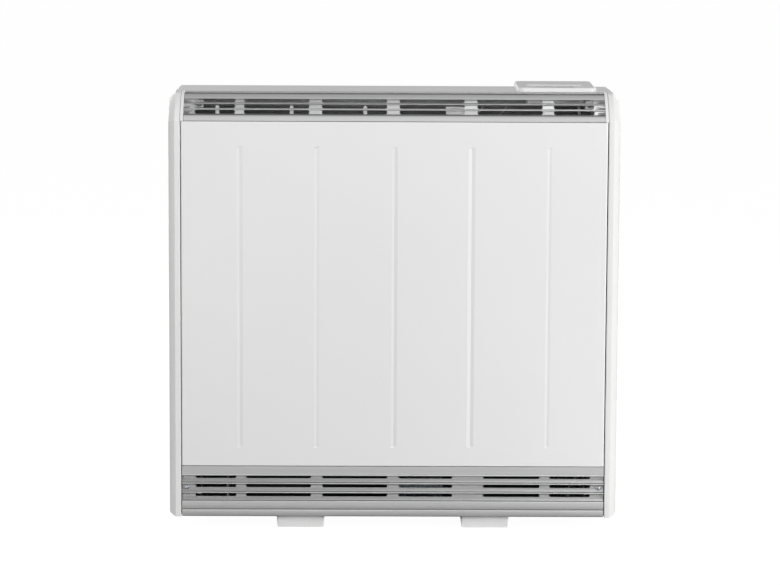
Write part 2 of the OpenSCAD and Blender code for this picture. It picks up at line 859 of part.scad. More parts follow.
// Strip across the casing with the upright tabs that show through the slots
module front_rail() {
    color(white_paint)
        translate([0, rail_y + sheet, 0])
            rotate([90, 0, 0])
                linear_extrude(sheet) {
                    translate([-side_x + seat, rail_low])
                        square([2 * (side_x - seat), rail_high - rail_low]);
                    for (x = rail_tab_x)
                        translate([x, (rail_low + rail_tab_top) / 2 + 2])
                            rotate(90)
                                polygon(stadium(rail_tab_top - rail_low - 4, rail_tab_w));
                    translate([rail_plate_x, rail_high - 4])
                        square([rail_plate_w, rail_tab_top - rail_high + 3]);
                }
}

grille_bracket_y = front_y + 47;
grille_bracket_l = 33;
grille_bracket_low = slope_z + 18;
grille_bracket_high = casing_top - strip_drop - 5;
grille_nub_x = side_x - 22.5;
grille_bracket_screw_x = side_x - 27;
grille_bracket_screw_z = slope_z + 23;

module grille_bracket_shape() {
    difference() {
        union() {
            block([side_x - seat - grille_bracket_l, grille_bracket_y, grille_bracket_low],
                  [side_x - seat, grille_bracket_y + sheet, grille_bracket_high]);
            block([side_x - seat - sheet, grille_bracket_y, grille_bracket_low],
                  [side_x - seat, grille_bracket_y + 16, grille_bracket_high]);
            block([grille_nub_x - 3, grille_bracket_y - 2, grille_bracket_high - 2],
                  [grille_nub_x + 3, grille_bracket_y + sheet, grille_bracket_high + 6]);
        }
        translate([grille_bracket_screw_x, grille_bracket_y - 1, grille_bracket_screw_z])
            rotate([-90, 0, 0])
                cylinder(h = 4, r = screw_hole_r, $fn = round_fn);
    }
}

module grille_brackets() {
    color(white_paint) {
        grille_bracket_shape();
        mirror([1, 0, 0])
            grille_bracket_shape();
    }
}

module bracket_screws() {
    color(zinc) {
        for (side = [-1, 1])
            translate([side * grille_bracket_screw_x, grille_bracket_y - seat / 2, grille_bracket_screw_z])
                screw_y(screw_head_r, screw_head_h, screw_r, 6);
        for (side = [-1, 1])
            translate([side * fixing_x, back_y - seat / 2, bracket_z])
                screw_y(screw_head_r, screw_head_h, screw_r, 5);
    }
}

// Core -------------------------------------------------------------------------------------------
core_gap = 0.4;
front_air = 4;
rear_air = 13;
core_front_y = front_y + front_return + front_air + front_ins;
core_half_d = (back_y - rear_air - rear_ins - core_front_y) / 2;
core_y = core_front_y + core_half_d;
core_half_w = side_x - side_room - side_ins;
core_plate = 1.5;
plate_z = low_grille_top - core_plate;
base_ins_z = low_grille_top + seat;
core_z = base_ins_z + side_ins + seat;
core_top = casing_top - top_room - top_ins;
course_h = (core_top - core_z) / courses;
columns = 3;
brick_w = 2 * core_half_w / columns;
ducts_per_brick = 2;
element_groove_r = element_d / 2 + 0.4;
element_courses = [0, 2, 4];

function course_z(k) = core_z + k * course_h;
function duct_x(k) = (k - (columns * ducts_per_brick - 1) / 2) * brick_w / ducts_per_brick;
ducts = columns * ducts_per_brick;

module duct_cuts(z_from, z_to, depth) {
    for (k = [0:ducts - 1])
        block([duct_x(k) - duct_w / 2, core_y - depth, z_from],
              [duct_x(k) + duct_w / 2, core_y + depth, z_to]);
}

module element_legs(course, r, from, to) {
    for (side = [-1, 1])
        translate([from, core_y, course_z(course) + course_h / 2 + side * element_bend])
            rotate([0, 90, 0])
                cylinder(h = to - from, r = r, $fn = round_fn);
}

// Two layers of three bricks, with grooves for the elements and ducts for the air between them
module brick_course(k) {
    color(brick_red)
        difference() {
            for (column = [0:columns - 1], layer = [0, 1])
                block([-core_half_w + column * brick_w + core_gap / 2,
                       core_y + (layer - 1) * core_half_d + core_gap / 2, course_z(k) + core_gap / 2],
                      [-core_half_w + (column + 1) * brick_w - core_gap / 2,
                       core_y + layer * core_half_d - core_gap / 2, course_z(k) + course_h - core_gap / 2]);
            duct_cuts(course_z(k) - 1, course_z(k) + course_h + 1, duct_depth);
            if (len(search(k, element_courses)) > 0)
                element_legs(k, element_groove_r, -core_half_w - 1, core_half_w + 1);
        }
}

module brick_course_1() { brick_course(0); }
module brick_course_2() { brick_course(1); }
module brick_course_3() { brick_course(2); }
module brick_course_4() { brick_course(3); }
module brick_course_5() { brick_course(4); }

element_tail = core_half_w + side_ins + 14;

// Hairpin element: two legs in the brick grooves and a bend in the left insulation
module element(course) {
    color(dark_grey) {
        element_legs(course, element_d / 2, -core_half_w - 1, element_tail);
        translate([-core_half_w - 1, core_y, course_z(course) + course_h / 2])
            rotate([90, 0, 0])
                rotate([0, 0, 90])
                    rotate_extrude(angle = 180, $fn = 64)
                        translate([element_bend, 0])
                            circle(r = element_d / 2, $fn = round_fn);
    }
    color(zinc)
        for (side = [-1, 1])
            translate([element_tail, core_y, course_z(course) + course_h / 2 + side * element_bend])
                rotate([0, 90, 0])
                    cylinder(h = 6, r = element_d / 4, $fn = round_fn);
}

module lower_element() { element(0); }
module middle_element() { element(2); }
module upper_element() { element(4); }

ins_top = core_top + top_ins;

module base_insulation() {
    color(wool)
        difference() {
            block([-core_half_w - side_ins, core_y - core_half_d, base_ins_z],
                  [core_half_w + side_ins, core_y + core_half_d, base_ins_z + side_ins]);
            duct_cuts(base_ins_z - 1, base_ins_z + side_ins + 1, duct_depth);
        }
}

module top_insulation() {
    color(wool)
        difference() {
            block([-core_half_w - side_ins, core_y - core_half_d, core_top + seat],
                  [core_half_w + side_ins, core_y + core_half_d, ins_top]);
            duct_cuts(core_top - 1, ins_top + 1, duct_depth);
            translate([sensor_x, sensor_y, core_top - 1])
                cylinder(h = top_ins + 3, r = sensor_r + 0.3, $fn = round_fn);
        }
}

module insulation_slab(y_from, y_to) {
    color(wool)
        block([-core_half_w - side_ins, y_from, base_ins_z], [core_half_w + side_ins, y_to, ins_top]);
}

module front_insulation() {
    insulation_slab(core_y - core_half_d - seat - front_ins, core_y - core_half_d - seat);
}

module rear_insulation() {
    insulation_slab(core_y + core_half_d + seat, core_y + core_half_d + seat + rear_ins);
}

side_slab_low = [core_half_w + seat, core_y - core_half_d, core_z];
side_slab_high = [core_half_w + side_ins, core_y + core_half_d, core_top];

module right_insulation() {
    color(wool)
        difference() {
            block(side_slab_low, side_slab_high);
            for (k = element_courses)
                element_legs(k, element_groove_r, core_half_w - 1, element_tail);
        }
}

module left_insulation() {
    pocket_r = element_bend + element_groove_r;
    color(wool)
        difference() {
            mirror([1, 0, 0])
                block(side_slab_low, side_slab_high);
            for (k = element_courses)
                block([-core_half_w - 1 - pocket_r, core_y - element_groove_r,
                       course_z(k) + course_h / 2 - pocket_r],
                      [-core_half_w + 1, core_y + element_groove_r,
                       course_z(k) + course_h / 2 + pocket_r]);
        }
}

shell = 1;
case_half = core_half_w + side_ins;
case_front_y = core_y - core_half_d - front_ins - 2 * seat;
case_rear_y = core_y + core_half_d + rear_ins + 2 * seat;
case_lap = 8;

// Sheets that hold the insulation to the core; they lap over the edges of the support
module inner_case_front() {
    color(zinc)
        block([-case_half, case_front_y - shell, plate_z - case_lap], [case_half, case_front_y, ins_top]);
}

module inner_case_rear() {
    color(zinc)
        block([-case_half, case_rear_y, plate_z - case_lap], [case_half, case_rear_y + shell, ins_top]);
}

lid_z = ins_top + seat;
lid_skirt = 12;

module inner_case_top() {
    color(zinc)
        difference() {
            union() {
                block([-case_half, case_front_y - shell - seat, lid_z],
                      [case_half, case_rear_y + shell + seat, lid_z + shell]);
                block([-case_half, case_front_y - 2 * shell - seat, lid_z - lid_skirt],
                      [case_half, case_front_y - shell - seat, lid_z + shell]);
                block([-case_half, case_rear_y + shell + seat, lid_z - lid_skirt],
                      [case_half, case_rear_y + 2 * shell + seat, lid_z + shell]);
            }
            duct_cuts(lid_z - 1, lid_z + 2, duct_depth);
            translate([sensor_x, sensor_y, lid_z - 1])
                cylinder(h = 4, r = sensor_r + 0.3, $fn = round_fn);
        }
}

// Steel table that carries the core above the fan, with air ports under the ducts
module core_support() {
    leg_top = plate_z + core_plate / 2;
    y_from = case_front_y + seat;
    y_to = case_rear_y - seat;
    color(zinc)
        difference() {
            union() {
                block([-case_half, y_from, plate_z], [case_half, y_to, plate_z + core_plate]);
                for (x = [-case_half, case_half - core_plate])
                    block([x, y_from, foot_h + sheet + seat], [x + core_plate, y_to, leg_top]);
                block([-case_half, y_to - core_plate, foot_h + sheet + seat], [case_half, y_to, leg_top]);
            }
            duct_cuts(plate_z - 1, plate_z + 3, duct_depth);
            block([case_half - 2 * core_plate, lead_y - lead_hole / 2, foot_h + 20],
                  [case_half + 1, lead_y + lead_hole / 2, plate_z - 10]);
            for (k = [-8:8])
                translate([k * 32, y_to, foot_h + 45])
                    rotate([90, 0, 0])
                        linear_extrude(6, center = true)
                            polygon(stadium(24, 8));
        }
}

// Fan --------------------------------------------------------------------------------------------
fan_setback = 78;
fan_drop = 1.5;
fan_side_room = 46.5;
fan_y = front_y + fan_setback;
fan_z = foot_h + low_grille_h / 2 - fan_drop;
fan_left = fan_side_room - case_half;
fan_right = fan_left + rotor_l;
rotor_r = rotor_d / 2;
rotor_gap = 3;
scroll_t = 1.2;
scroll_steps = 18;
scroll_growth = 8.5;
disc_t = 2;
rotor_play = 3;
end_plate_t = 2;
bearing_r = 7;
bearing_l = 7;
stub = 9;

// Cross-flow rotor: curved blades between end discs and a middle disc, on one shaft
module fan_rotor() {
    blade_h = 9;
    blade_curve = 7;
    color(dark_grey)
        translate([fan_left, fan_y, fan_z])
            rotate([0, 90, 0]) {
                for (z = [0, rotor_l / 2 - disc_t / 2, rotor_l - disc_t])
                    translate([0, 0, z])
                        cylinder(h = disc_t, r = rotor_r, $fn = 64);
                translate([0, 0, disc_t / 2])
                    linear_extrude(rotor_l - disc_t)
                        for (k = [0:rotor_blades - 1])
                            rotate(k * 360 / rotor_blades)
                                translate([rotor_r - blade_h - 0.2, -1])
                                    polygon(blade_outline(blade_h, blade_curve));
                translate([0, 0, -rotor_play - end_plate_t - stub])
                    cylinder(h = rotor_l + 2 * (rotor_play + end_plate_t) + 2 * stub, r = shaft_d / 2,
                             $fn = round_fn);
            }
}

// Curved blade of even thickness along its chord
function blade_outline(chord, sag) = concat(
    [for (k = [0:4]) [chord * k / 4, sag / 3 * sin(45 * k)]],
    [for (k = [4:-1:0]) [chord * k / 4, sag / 3 * sin(45 * k) + 0.9]]
);

// Spiral wall over the rotor, from the inlet below the rear to the outlet at the front
function scroll_r(a) = rotor_r + rotor_gap + scroll_growth * (a + 60) / 180;
function scroll_path(extra) =
    [for (k = [0:scroll_steps])
        let (a = -60 + 180 * k / scroll_steps)
        [fan_y + (scroll_r(a) + extra) * cos(a), fan_z + (scroll_r(a) + extra) * sin(a)]];

outlet_y = case_front_y + seat;
outlet_top = plate_z - 6;
outlet_floor = foot_h + 18;
tongue = [fan_y - (rotor_r + rotor_gap) * 0.72, fan_z - (rotor_r + rotor_gap) * 0.72];

module fan_housing() {
    color(zinc) {
        drawn_x(fan_left - rotor_play, fan_right + rotor_play)
            polygon(concat(scroll_path(0), [[outlet_y, outlet_top - scroll_t]], [[outlet_y, outlet_top]],
                           reversed(scroll_path(scroll_t))));
        drawn_x(fan_left - rotor_play, fan_right + rotor_play)
            polygon([tongue, tongue + [scroll_t, -scroll_t], [outlet_y, outlet_floor - scroll_t],
                     [outlet_y, outlet_floor]]);
        fan_end_plate(fan_left - rotor_play - end_plate_t, bearing_r + 0.1);
        fan_end_plate(fan_right + rotor_play, shaft_d);
    }
}

module fan_end_plate(x, hole_r) {
    reach = rotor_r + rotor_gap + scroll_growth + 2;
    low_edge = foot_h + sheet + seat;
    difference() {
        drawn_x(x, x + end_plate_t)
            polygon([[outlet_y, low_edge], [fan_y + reach, low_edge], [fan_y + reach, fan_z + 10],
                     [fan_y + reach - 14, plate_z - seat], [outlet_y, plate_z - seat]]);
        translate([x - 1, fan_y, fan_z])
            rotate([0, 90, 0])
                cylinder(h = end_plate_t + 2, r = hole_r, $fn = round_fn);
    }
}

// Bush in the left end plate
module fan_bearing() {
    color("#b08d57")
        translate([fan_left - rotor_play - end_plate_t - bearing_l + 4, fan_y, fan_z])
            rotate([0, 90, 0])
                difference() {
                    union() {
                        cylinder(h = bearing_l, r = bearing_r, $fn = round_fn);
                        cylinder(h = bearing_l - 4 - seat, r = bearing_r + 2.5, $fn = round_fn);
                    }
                    translate([0, 0, -1])
                        cylinder(h = bearing_l + 2, r = shaft_d / 2 + run_fit, $fn = round_fn);
                }
}

motor_x = fan_right + rotor_play + end_plate_t + seat;
motor_r = 27;
motor_ribs = 9;

module fan_motor() {
    color("#7c8790")
        difference() {
            translate([motor_x, fan_y, fan_z])
                rotate([0, 90, 0]) {
                    cylinder(h = motor_l, r = motor_r - 2, $fn = 64);
                    for (k = [0:motor_ribs - 1])
                        translate([0, 0, 3 + k * (motor_l - 8) / (motor_ribs - 1)])
                            cylinder(h = 2, r = motor_r, $fn = 64);
                }
            translate([motor_x - 1, fan_y, fan_z])
                rotate([0, 90, 0])
                    cylinder(h = stub + 3, r = shaft_d / 2 + run_fit, $fn = round_fn);
        }
    color(zinc)
        for (x = [motor_x + 8, motor_x + motor_l - 14])
            motor_saddle(x);
}

saddle_half = motor_r - 7;

// Folded saddle between the motor and the base tray
module motor_saddle(x) {
    low_edge = foot_h + sheet + seat;
    difference() {
        block([x, fan_y - saddle_half, low_edge], [x + 6, fan_y + saddle_half, fan_z - 8]);
        translate([x - 1, fan_y, fan_z])
            rotate([0, 90, 0])
                cylinder(h = 8, r = motor_r - 2.5, $fn = 64);
    }
}

// Damper -----------------------------------------------------------------------------------------
flap_lap = 12;
flap_half = duct_x(ducts - 1) + duct_w / 2 + flap_lap;
flap_t = 1.2;
pivot_y = core_y + flap_w / 2 + 4;
pivot_z = lid_z + shell + seat + pivot_d / 2 + 1.4;
lug_t = 3;
lug_gap = 1;
lug_x = flap_half + lug_gap;
damper_bore = pivot_d / 2 + run_fit;

module damper_flap() {
    flap_z = lid_z + shell + seat;
    front = pivot_y - flap_w;
    color(alu_grey) {
        block([-flap_half, front, flap_z], [flap_half, pivot_y, flap_z + flap_t]);
        block([-flap_half, front, flap_z], [flap_half, front + flap_t, flap_z + 5]);
        block([-flap_half, pivot_y - flap_t, flap_z], [flap_half, pivot_y, pivot_z]);
        translate([-lug_x - lug_t - 1, pivot_y, pivot_z])
            rotate([0, 90, 0])
                cylinder(h = 2 * (lug_x + lug_t + 1) + 5, r = pivot_d / 2, $fn = round_fn);
    }
}

module damper_lug(x) {
    low_edge = lid_z + shell + seat / 2;
    difference() {
        union() {
            block([x, pivot_y - 9, low_edge], [x + lug_t, pivot_y + 7, pivot_z + 7]);
            block([x - (x < 0 ? 10 : 0), pivot_y - 9, low_edge],
                  [x + lug_t + (x < 0 ? 0 : 10), pivot_y + 7, low_edge + 1]);
        }
        translate([x - 1, pivot_y, pivot_z])
            rotate([0, 90, 0])
                cylinder(h = lug_t + 2, r = damper_bore, $fn = round_fn);
    }
}

module damper_brackets() {
    color(zinc) {
        damper_lug(-lug_x - lug_t);
        damper_lug(lug_x);
    }
}

// Geared motor on the end of the damper pivot
module damper_motor() {
    x = lug_x + lug_t + seat;
    low_edge = lid_z + shell + seat / 2 + 1 + seat;
    color("#d8d8d2")
        difference() {
            union() {
                block([x, pivot_y - 14, low_edge], [x + 26, pivot_y + 14, low_edge + 30]);
                translate([x + 4, pivot_y - 8, low_edge + 29])
                    cube([18, 16, 6]);
            }
            translate([x - 1, pivot_y, pivot_z])
                rotate([0, 90, 0])
                    cylinder(h = 10, r = damper_bore, $fn = round_fn);
        }
}

// Controls and wiring ----------------------------------------------------------------------------
sensor_x = -core_half_w / 3;
sensor_y = core_y - core_half_d / 2;
sensor_r = 2.5;
cutout_r = 17;
cutout_y = sensor_y - cutout_r - 1;

module thermal_cutout() {
    color("#2f3133")
        translate([core_half_w / 3, cutout_y, lid_z + shell + seat / 2]) {
            cylinder(h = 1.2, r = cutout_r, $fn = round_fn);
            cylinder(h = 9, r = 11, $fn = round_fn);
            for (side = [-1, 1])
                translate([side * 5 - 3, -0.5, 8])
                    cube([6, 1, 8]);
        }
}

// Probe that stands in the top insulation with its tip just above the bricks
module core_sensor() {
    color(zinc)
        translate([sensor_x, sensor_y, 0]) {
            translate([0, 0, core_top + seat])
                cylinder(h = lid_z - core_top + 8, r = sensor_r, $fn = round_fn);
            translate([0, 0, lid_z + shell + seat / 2])
                cylinder(h = 6, r = 5, $fn = round_fn);
        }
}

tray_z = foot_h + sheet + seat / 2;
board_l = 130;
board_x = case_half - board_l - 26;
block_x = board_x + 40;
block_y = case_rear_y - 28;

module terminal_block() {
    ways = 5;
    way_w = 11;
    color("#e8e4d4")
        difference() {
            union() {
                translate([block_x, block_y, tray_z])
                    cube([ways * way_w, 18, 14]);
                for (k = [0:ways])
                    translate([block_x + k * way_w - 0.75, block_y, tray_z])
                        cube([1.5, 18, 20]);
            }
            for (k = [0:ways - 1])
                translate([block_x + (k + 0.5) * way_w, block_y + 9, tray_z + 6])
                    cylinder(h = 20, r = 3, $fn = 32);
        }
}

board_y = fan_y + 22;
board_h = 58;
board_t = 1.6;

// Power board standing on the base tray, with two relays and a finned heat sink
module control_board() {
    color("#2f6b45")
        block([board_x, board_y, tray_z], [board_x + board_l, board_y + board_t, tray_z + board_h]);
    color("#26292b")
        for (x = [board_x + 10, board_x + 48])
            block([x, board_y + board_t / 2, tray_z + 20], [x + 28, board_y + 18, tray_z + 44]);
    color(alu_grey)
        for (k = [0:5])
            block([board_x + 88 + 6 * k, board_y - 14, tray_z + 12],
                  [board_x + 90 + 6 * k, board_y + board_t / 2, tray_z + 48]);
    color(alu_grey)
        block([board_x + 88, board_y - 3, tray_z + 12], [board_x + 120, board_y + board_t / 2, tray_z + 48]);
}

grommet_inset = 90;
grommet_rise = 34;
grommet_x = body_half - grommet_inset;
grommet_z = foot_h + grommet_rise;
grommet_neck_r = cable_d / 2 + 2.4;
grommet_flange_r = grommet_neck_r + 3;
grommet_flange_t = 2.4;

// Rubber grommet in the back panel, where the supply cable enters
module cable_grommet() {
    color("#1c1d1e")
        translate([grommet_x, back_y + sheet + seat / 2, grommet_z])
            rotate([-90, 0, 0])
                difference() {
                    union() {
                        cylinder(h = grommet_flange_t, r = grommet_flange_r, $fn = round_fn);
                        translate([0, 0, -sheet - seat])
                            cylinder(h = sheet + 2 * seat, r = grommet_neck_r - 0.15, $fn = round_fn);
                        translate([0, 0, -sheet - seat - grommet_flange_t])
                            cylinder(h = grommet_flange_t, r = grommet_flange_r, $fn = round_fn);
                    }
                    translate([0, 0, -10])
                        cylinder(h = 20, r = cable_d / 2, $fn = round_fn);
                }
}

// Console ----------------------------------------------------------------------------------------
console_setback = 8;
recess_setback = 9;
recess_shift = -1;
recess_depth = 1.4;
console_x = body_half - console_margin - console_w / 2;
console_y = top_fold_y + console_setback + console_d / 2;
recess_x = console_x + recess_shift;
recess_y = top_fold_y + console_setback + recess_setback + recess_d / 2;
recess_floor = casing_top + console_front_h - recess_depth;
floor_t = 2;
floor_low = recess_floor - floor_t;
tub_wall = 1.8;
tub_margin = 2;
tub_drop = 20;
tub_w = recess_w + 2 * tub_margin;
tub_d = recess_d + 2 * tub_margin;
tub_low = casing_top - tub_drop;
buttons = 5;
button_row = 8.5;
window_gap = 8;
button_y = recess_y - recess_d / 2 + button_row;
button_proud = 0.3;
flange_over = 1;
flange_t = 1.4;
window_y = button_y + button_d / 2 + window_gap + display_d / 2;
lens_t = 1.2;
lens_lap = 1.4;
flange_top = floor_low - seat;
button_low = flange_top - flange_t;
switch_h = 4;
switch_top = button_low - button_travel - seat;
board_top = switch_top - switch_h;
board_boss_r = 2;
board_boss_x = recess_w / 2 - 6;
board_boss_y = [button_y + (button_d + window_gap) / 2, window_y + display_d / 2 - 4];

function console_top_z(y) = casing_top + console_front_h
    + (console_rear_h - console_front_h) * (y - console_y + console_d / 2) / console_d;

// Ring of the console at a given inset, lowered from the sloping top by drop
function console_ring(inset, drop) =
    [for (p = reversed(rounded_rect(console_w - 2 * inset, console_d - 2 * inset, console_r - inset)))
        [console_x + p[0], console_y + p[1], console_top_z(console_y + p[1]) - drop]];

module console_slab() {
    steps = 5;
    loft(concat(
        [[for (p = reversed(rounded_rect(console_w, console_d, console_r)))
            [console_x + p[0], console_y + p[1], casing_top + seat / 3]]],
        [for (k = [0:steps])
            let (a = 90 * k / steps)
            console_ring(console_edge * (1 - cos(a)), console_edge * (1 - sin(a)))]
    ));
}

module plan_prism(x, y, w, d, r, z_from, z_to) {
    translate([x, y, z_from])
        linear_extrude(z_to - z_from)
            polygon(rounded_rect(w, d, r));
}

function button_x(k) = recess_x + (k - (buttons - 1) / 2) * button_pitch;

module console_housing() {
    hollow_w = tub_w - 2 * tub_wall;
    hollow_d = tub_d - 2 * tub_wall;
    lens_w = display_w + 2 * lens_lap;
    lens_d = display_d + 2 * lens_lap;
    color(cap_white)
        difference() {
            union() {
                console_slab();
                plan_prism(recess_x, recess_y, tub_w, tub_d, 4, tub_low, casing_top + 2);
            }
            plan_prism(recess_x, recess_y, recess_w, recess_d, 4, recess_floor, casing_top + 30);
            plan_prism(recess_x, recess_y, hollow_w, hollow_d, 3, tub_low - 1, casing_top + 1);
            plan_prism(recess_x, recess_y, recess_w - 2, recess_d - 2, 3, tub_low - 1, floor_low);
            plan_prism(recess_x, window_y, display_w, display_d, 1.5, floor_low - 1, recess_floor + 1);
            plan_prism(recess_x, window_y, lens_w + 0.4, lens_d + 0.4, 2, recess_floor - lens_t,
                       recess_floor + 1);
            for (k = [0:buttons - 1])
                plan_prism(button_x(k), button_y, button_w + 2 * button_gap, button_d + 2 * button_gap, 2,
                           floor_low - 1, recess_floor + 1);
        }
    color(cap_white)
        for (side = [-1, 1], y = board_boss_y)
            translate([recess_x + side * board_boss_x, y, board_top + seat / 2])
                cylinder(h = floor_low + floor_t / 4 - board_top - seat / 2, r = board_boss_r, $fn = 32);
}

module display_lens() {
    color("#3c4648")
        plan_prism(recess_x, window_y, display_w + 2 * lens_lap, display_d + 2 * lens_lap, 2,
                   recess_floor - lens_t + 0.1, recess_floor);
}

module button(k) {
    color("#d4d6d6") {
        plan_prism(button_x(k), button_y, button_w, button_d, 1.7, button_low, recess_floor + button_proud);
        plan_prism(button_x(k), button_y, button_w + 2 * flange_over, button_d + 2 * flange_over, 1.7,
                   button_low, flange_top);
    }
}

module button_back() { button(0); }
module button_down() { button(1); }
module button_up() { button(2); }
module button_select() { button(3); }
module button_boost() { button(4); }

// Board under the buttons, with one small switch for each and the display on its rear half
module console_board() {
    color("#2f6b45")
        plan_prism(recess_x, recess_y, recess_w - 6, recess_d - 6, 2, board_top - board_t, board_top);
    color("#26292b")
        for (k = [0:buttons - 1])
            plan_prism(button_x(k), button_y, 6, 5, 0.5, board_top - 0.4, switch_top);
    color("#8f9a94")
        plan_prism(recess_x, window_y, display_w - 2, display_d - 2, 1, board_top - 0.4, floor_low - seat);
}

// Lead from the console down the right-hand wiring space to the power board
lead_r = 2.2;
lead_sides = 8;
lead_rings = 44;
lead_x_high = console_x + 38;
lead_x_side = side_x - side_room / 2 + 4;
lead_x_low = board_x + board_l + 6;
lead_offset = 10;
lead_rise = 12;
lead_hole = 24;
lead_y = recess_y + lead_offset;
lead_top_z = board_top - seat - board_t;
lead_low_z = tray_z + lead_rise;

function ease(t) = let (u = max(0, min(1, t))) u * u * (3 - 2 * u);
function lead_point(t) =
    let (z = lead_top_z + (lead_low_z - lead_top_z) * t)
    [lead_x_high + (lead_x_side - lead_x_high) * ease(t * 8 - 0.3)
        + (lead_x_low - lead_x_side) * ease((t - 0.9) * 12), lead_y, z];

module console_lead() {
    color("#f0f0ec")
        loft([for (k = [0:lead_rings])
            let (t = k / lead_rings, p = lead_point(t),
                 d = lead_point(min(1, t + 0.01)) - lead_point(max(0, t - 0.01)),
                 along = d / norm(d), across = [-along[2], 0, along[0]])
            [for (i = [0:lead_sides - 1])
                let (a = 360 * i / lead_sides)
                p + lead_r * (cos(a) * across + sin(a) * [0, 1, 0])]]);
}

left_end_cap();
right_end_cap();
top_panel();
front_panel();
top_grille();
bottom_grille();
back_panel();
base_tray();
left_side_panel();
right_side_panel();
left_foot();
right_foot();
wall_bracket();
front_rail();
grille_brackets();
bracket_screws();
bottom_grille_screws();
cap_screws();
foot_screws();
core_support();
base_insulation();
front_insulation();
rear_insulation();
left_insulation();
right_insulation();
top_insulation();
inner_case_front();
inner_case_rear();
inner_case_top();
brick_course_1();
brick_course_2();
brick_course_3();
brick_course_4();
brick_course_5();
lower_element();
middle_element();
upper_element();
fan_housing();
fan_rotor();
fan_bearing();
fan_motor();
damper_flap();
damper_brackets();
damper_motor();
thermal_cutout();
core_sensor();
terminal_block();
control_board();
console_lead();
cable_grommet();
console_housing();
display_lens();
console_board();
button_back();
button_down();
button_up();
button_select();
button_boost();
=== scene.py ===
import json
import math
import bmesh
import bpy
from mathutils import Matrix, Vector

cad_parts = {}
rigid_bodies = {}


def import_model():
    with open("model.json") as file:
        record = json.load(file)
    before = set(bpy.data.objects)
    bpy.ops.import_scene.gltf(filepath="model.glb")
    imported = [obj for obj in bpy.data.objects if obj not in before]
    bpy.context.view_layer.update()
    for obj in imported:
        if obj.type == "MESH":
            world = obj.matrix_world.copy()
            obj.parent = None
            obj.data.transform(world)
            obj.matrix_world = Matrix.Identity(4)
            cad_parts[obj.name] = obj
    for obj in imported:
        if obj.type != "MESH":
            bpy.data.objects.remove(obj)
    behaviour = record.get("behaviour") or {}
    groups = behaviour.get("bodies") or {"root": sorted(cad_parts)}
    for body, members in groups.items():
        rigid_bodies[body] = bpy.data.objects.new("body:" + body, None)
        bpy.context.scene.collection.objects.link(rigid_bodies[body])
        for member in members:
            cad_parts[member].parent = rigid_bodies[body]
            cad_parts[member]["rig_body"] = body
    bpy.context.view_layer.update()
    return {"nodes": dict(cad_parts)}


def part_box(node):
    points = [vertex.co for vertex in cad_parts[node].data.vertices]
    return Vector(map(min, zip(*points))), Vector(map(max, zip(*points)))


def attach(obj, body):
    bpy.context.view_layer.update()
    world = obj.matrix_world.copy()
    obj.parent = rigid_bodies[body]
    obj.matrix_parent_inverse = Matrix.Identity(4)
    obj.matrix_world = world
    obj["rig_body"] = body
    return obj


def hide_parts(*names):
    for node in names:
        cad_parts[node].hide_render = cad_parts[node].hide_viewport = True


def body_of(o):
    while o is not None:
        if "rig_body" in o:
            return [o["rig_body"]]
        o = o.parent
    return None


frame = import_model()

nodes = frame["nodes"]
scene = bpy.context.scene
print("frame loaded:", len(nodes), "pieces")


# the camera is fitted to the photograph
cameraView = {
    "place": (-0.048, -4.906, 1.0088),
    "pitch": 7.444,      # degrees downwards
    "yaw": -0.5,         # degrees, towards the right
    "roll": 0.27,        # degrees, between the photograph's level edges and its leaning uprights
    "lens": 141.97,      # mm
    "sensor": 36.0,      # mm
    "sight": 200,        # metres
}


def placeCamera():
    data = bpy.data.cameras.new("photoCamera")
    data.lens = cameraView["lens"]
    data.sensor_width = cameraView["sensor"]
    data.sensor_fit = "HORIZONTAL"
    data.clip_end = cameraView["sight"]
    camera = bpy.data.objects.new("photoCamera", data)
    turn = (Matrix.Rotation(math.radians(cameraView["yaw"]), 4, "Z")
            @ Matrix.Rotation(math.radians(90 - cameraView["pitch"]), 4, "X")
            @ Matrix.Rotation(math.radians(cameraView["roll"]), 4, "Z"))
    camera.matrix_world = Matrix.Translation(cameraView["place"]) @ turn
    scene.collection.objects.link(camera)
    scene.camera = camera


placeCamera()
print("camera placed")


# white studio: each lamp is a soft box that looks at the point called aim
studio = {
    "floorRadius": 40.0,
    "floorHeight": -0.0004,
    "floorGlow": 0.97,
    "floorShade": 0.09,
    "bounceRadius": 3.0,
    "bounceHeight": -0.002,
    "bounceShade": 0.70,
    "discSides": 96,
    "skySides": (48, 24),
    "glint": {"middle": (0.66, -0.48, 0), "inner": 0.22, "outer": 0.60, "strength": 0.36},
    "ambient": 0.255,
    "aim": (0, -0.05, 0.36),
    "lamps": {
        "rightKey": {"place": (2.90, -1.50, 0.62), "size": (1.0, 0.9), "power": 61},
        "leftFill": {"place": (-2.30, -2.00, 0.92), "size": (1.2, 0.8), "power": 30},
        "frontStrip": {"place": (0.30, -4.40, 1.18), "size": (2.6, 0.5), "power": 19},
        "highRight": {"place": (0.95, -2.20, 2.45), "size": (0.9, 0.9), "power": 20},
        "overhead": {"place": (0.10, -0.40, 2.90), "size": (2.4, 1.4), "power": 9},
        "rearLeft": {"place": (-1.50, 2.80, 1.40), "size": (1.4, 1.4), "power": 36},
        "rearRight": {"place": (1.50, 2.90, 1.30), "size": (1.4, 1.4), "power": 22},
    },
}


def link(piece):
    scene.collection.objects.link(piece)
    return piece


def meshPiece(name, bm):
    mesh = bpy.data.meshes.new(name)
    bm.to_mesh(mesh)
    bm.free()
    return link(bpy.data.objects.new(name, mesh))


def disc(name, radius, height):
    bm = bmesh.new()
    bmesh.ops.create_circle(bm, cap_ends=True, segments=studio["discSides"], radius=radius,
                            matrix=Matrix.Translation((0, 0, height)))
    piece = meshPiece(name, bm)
    return piece


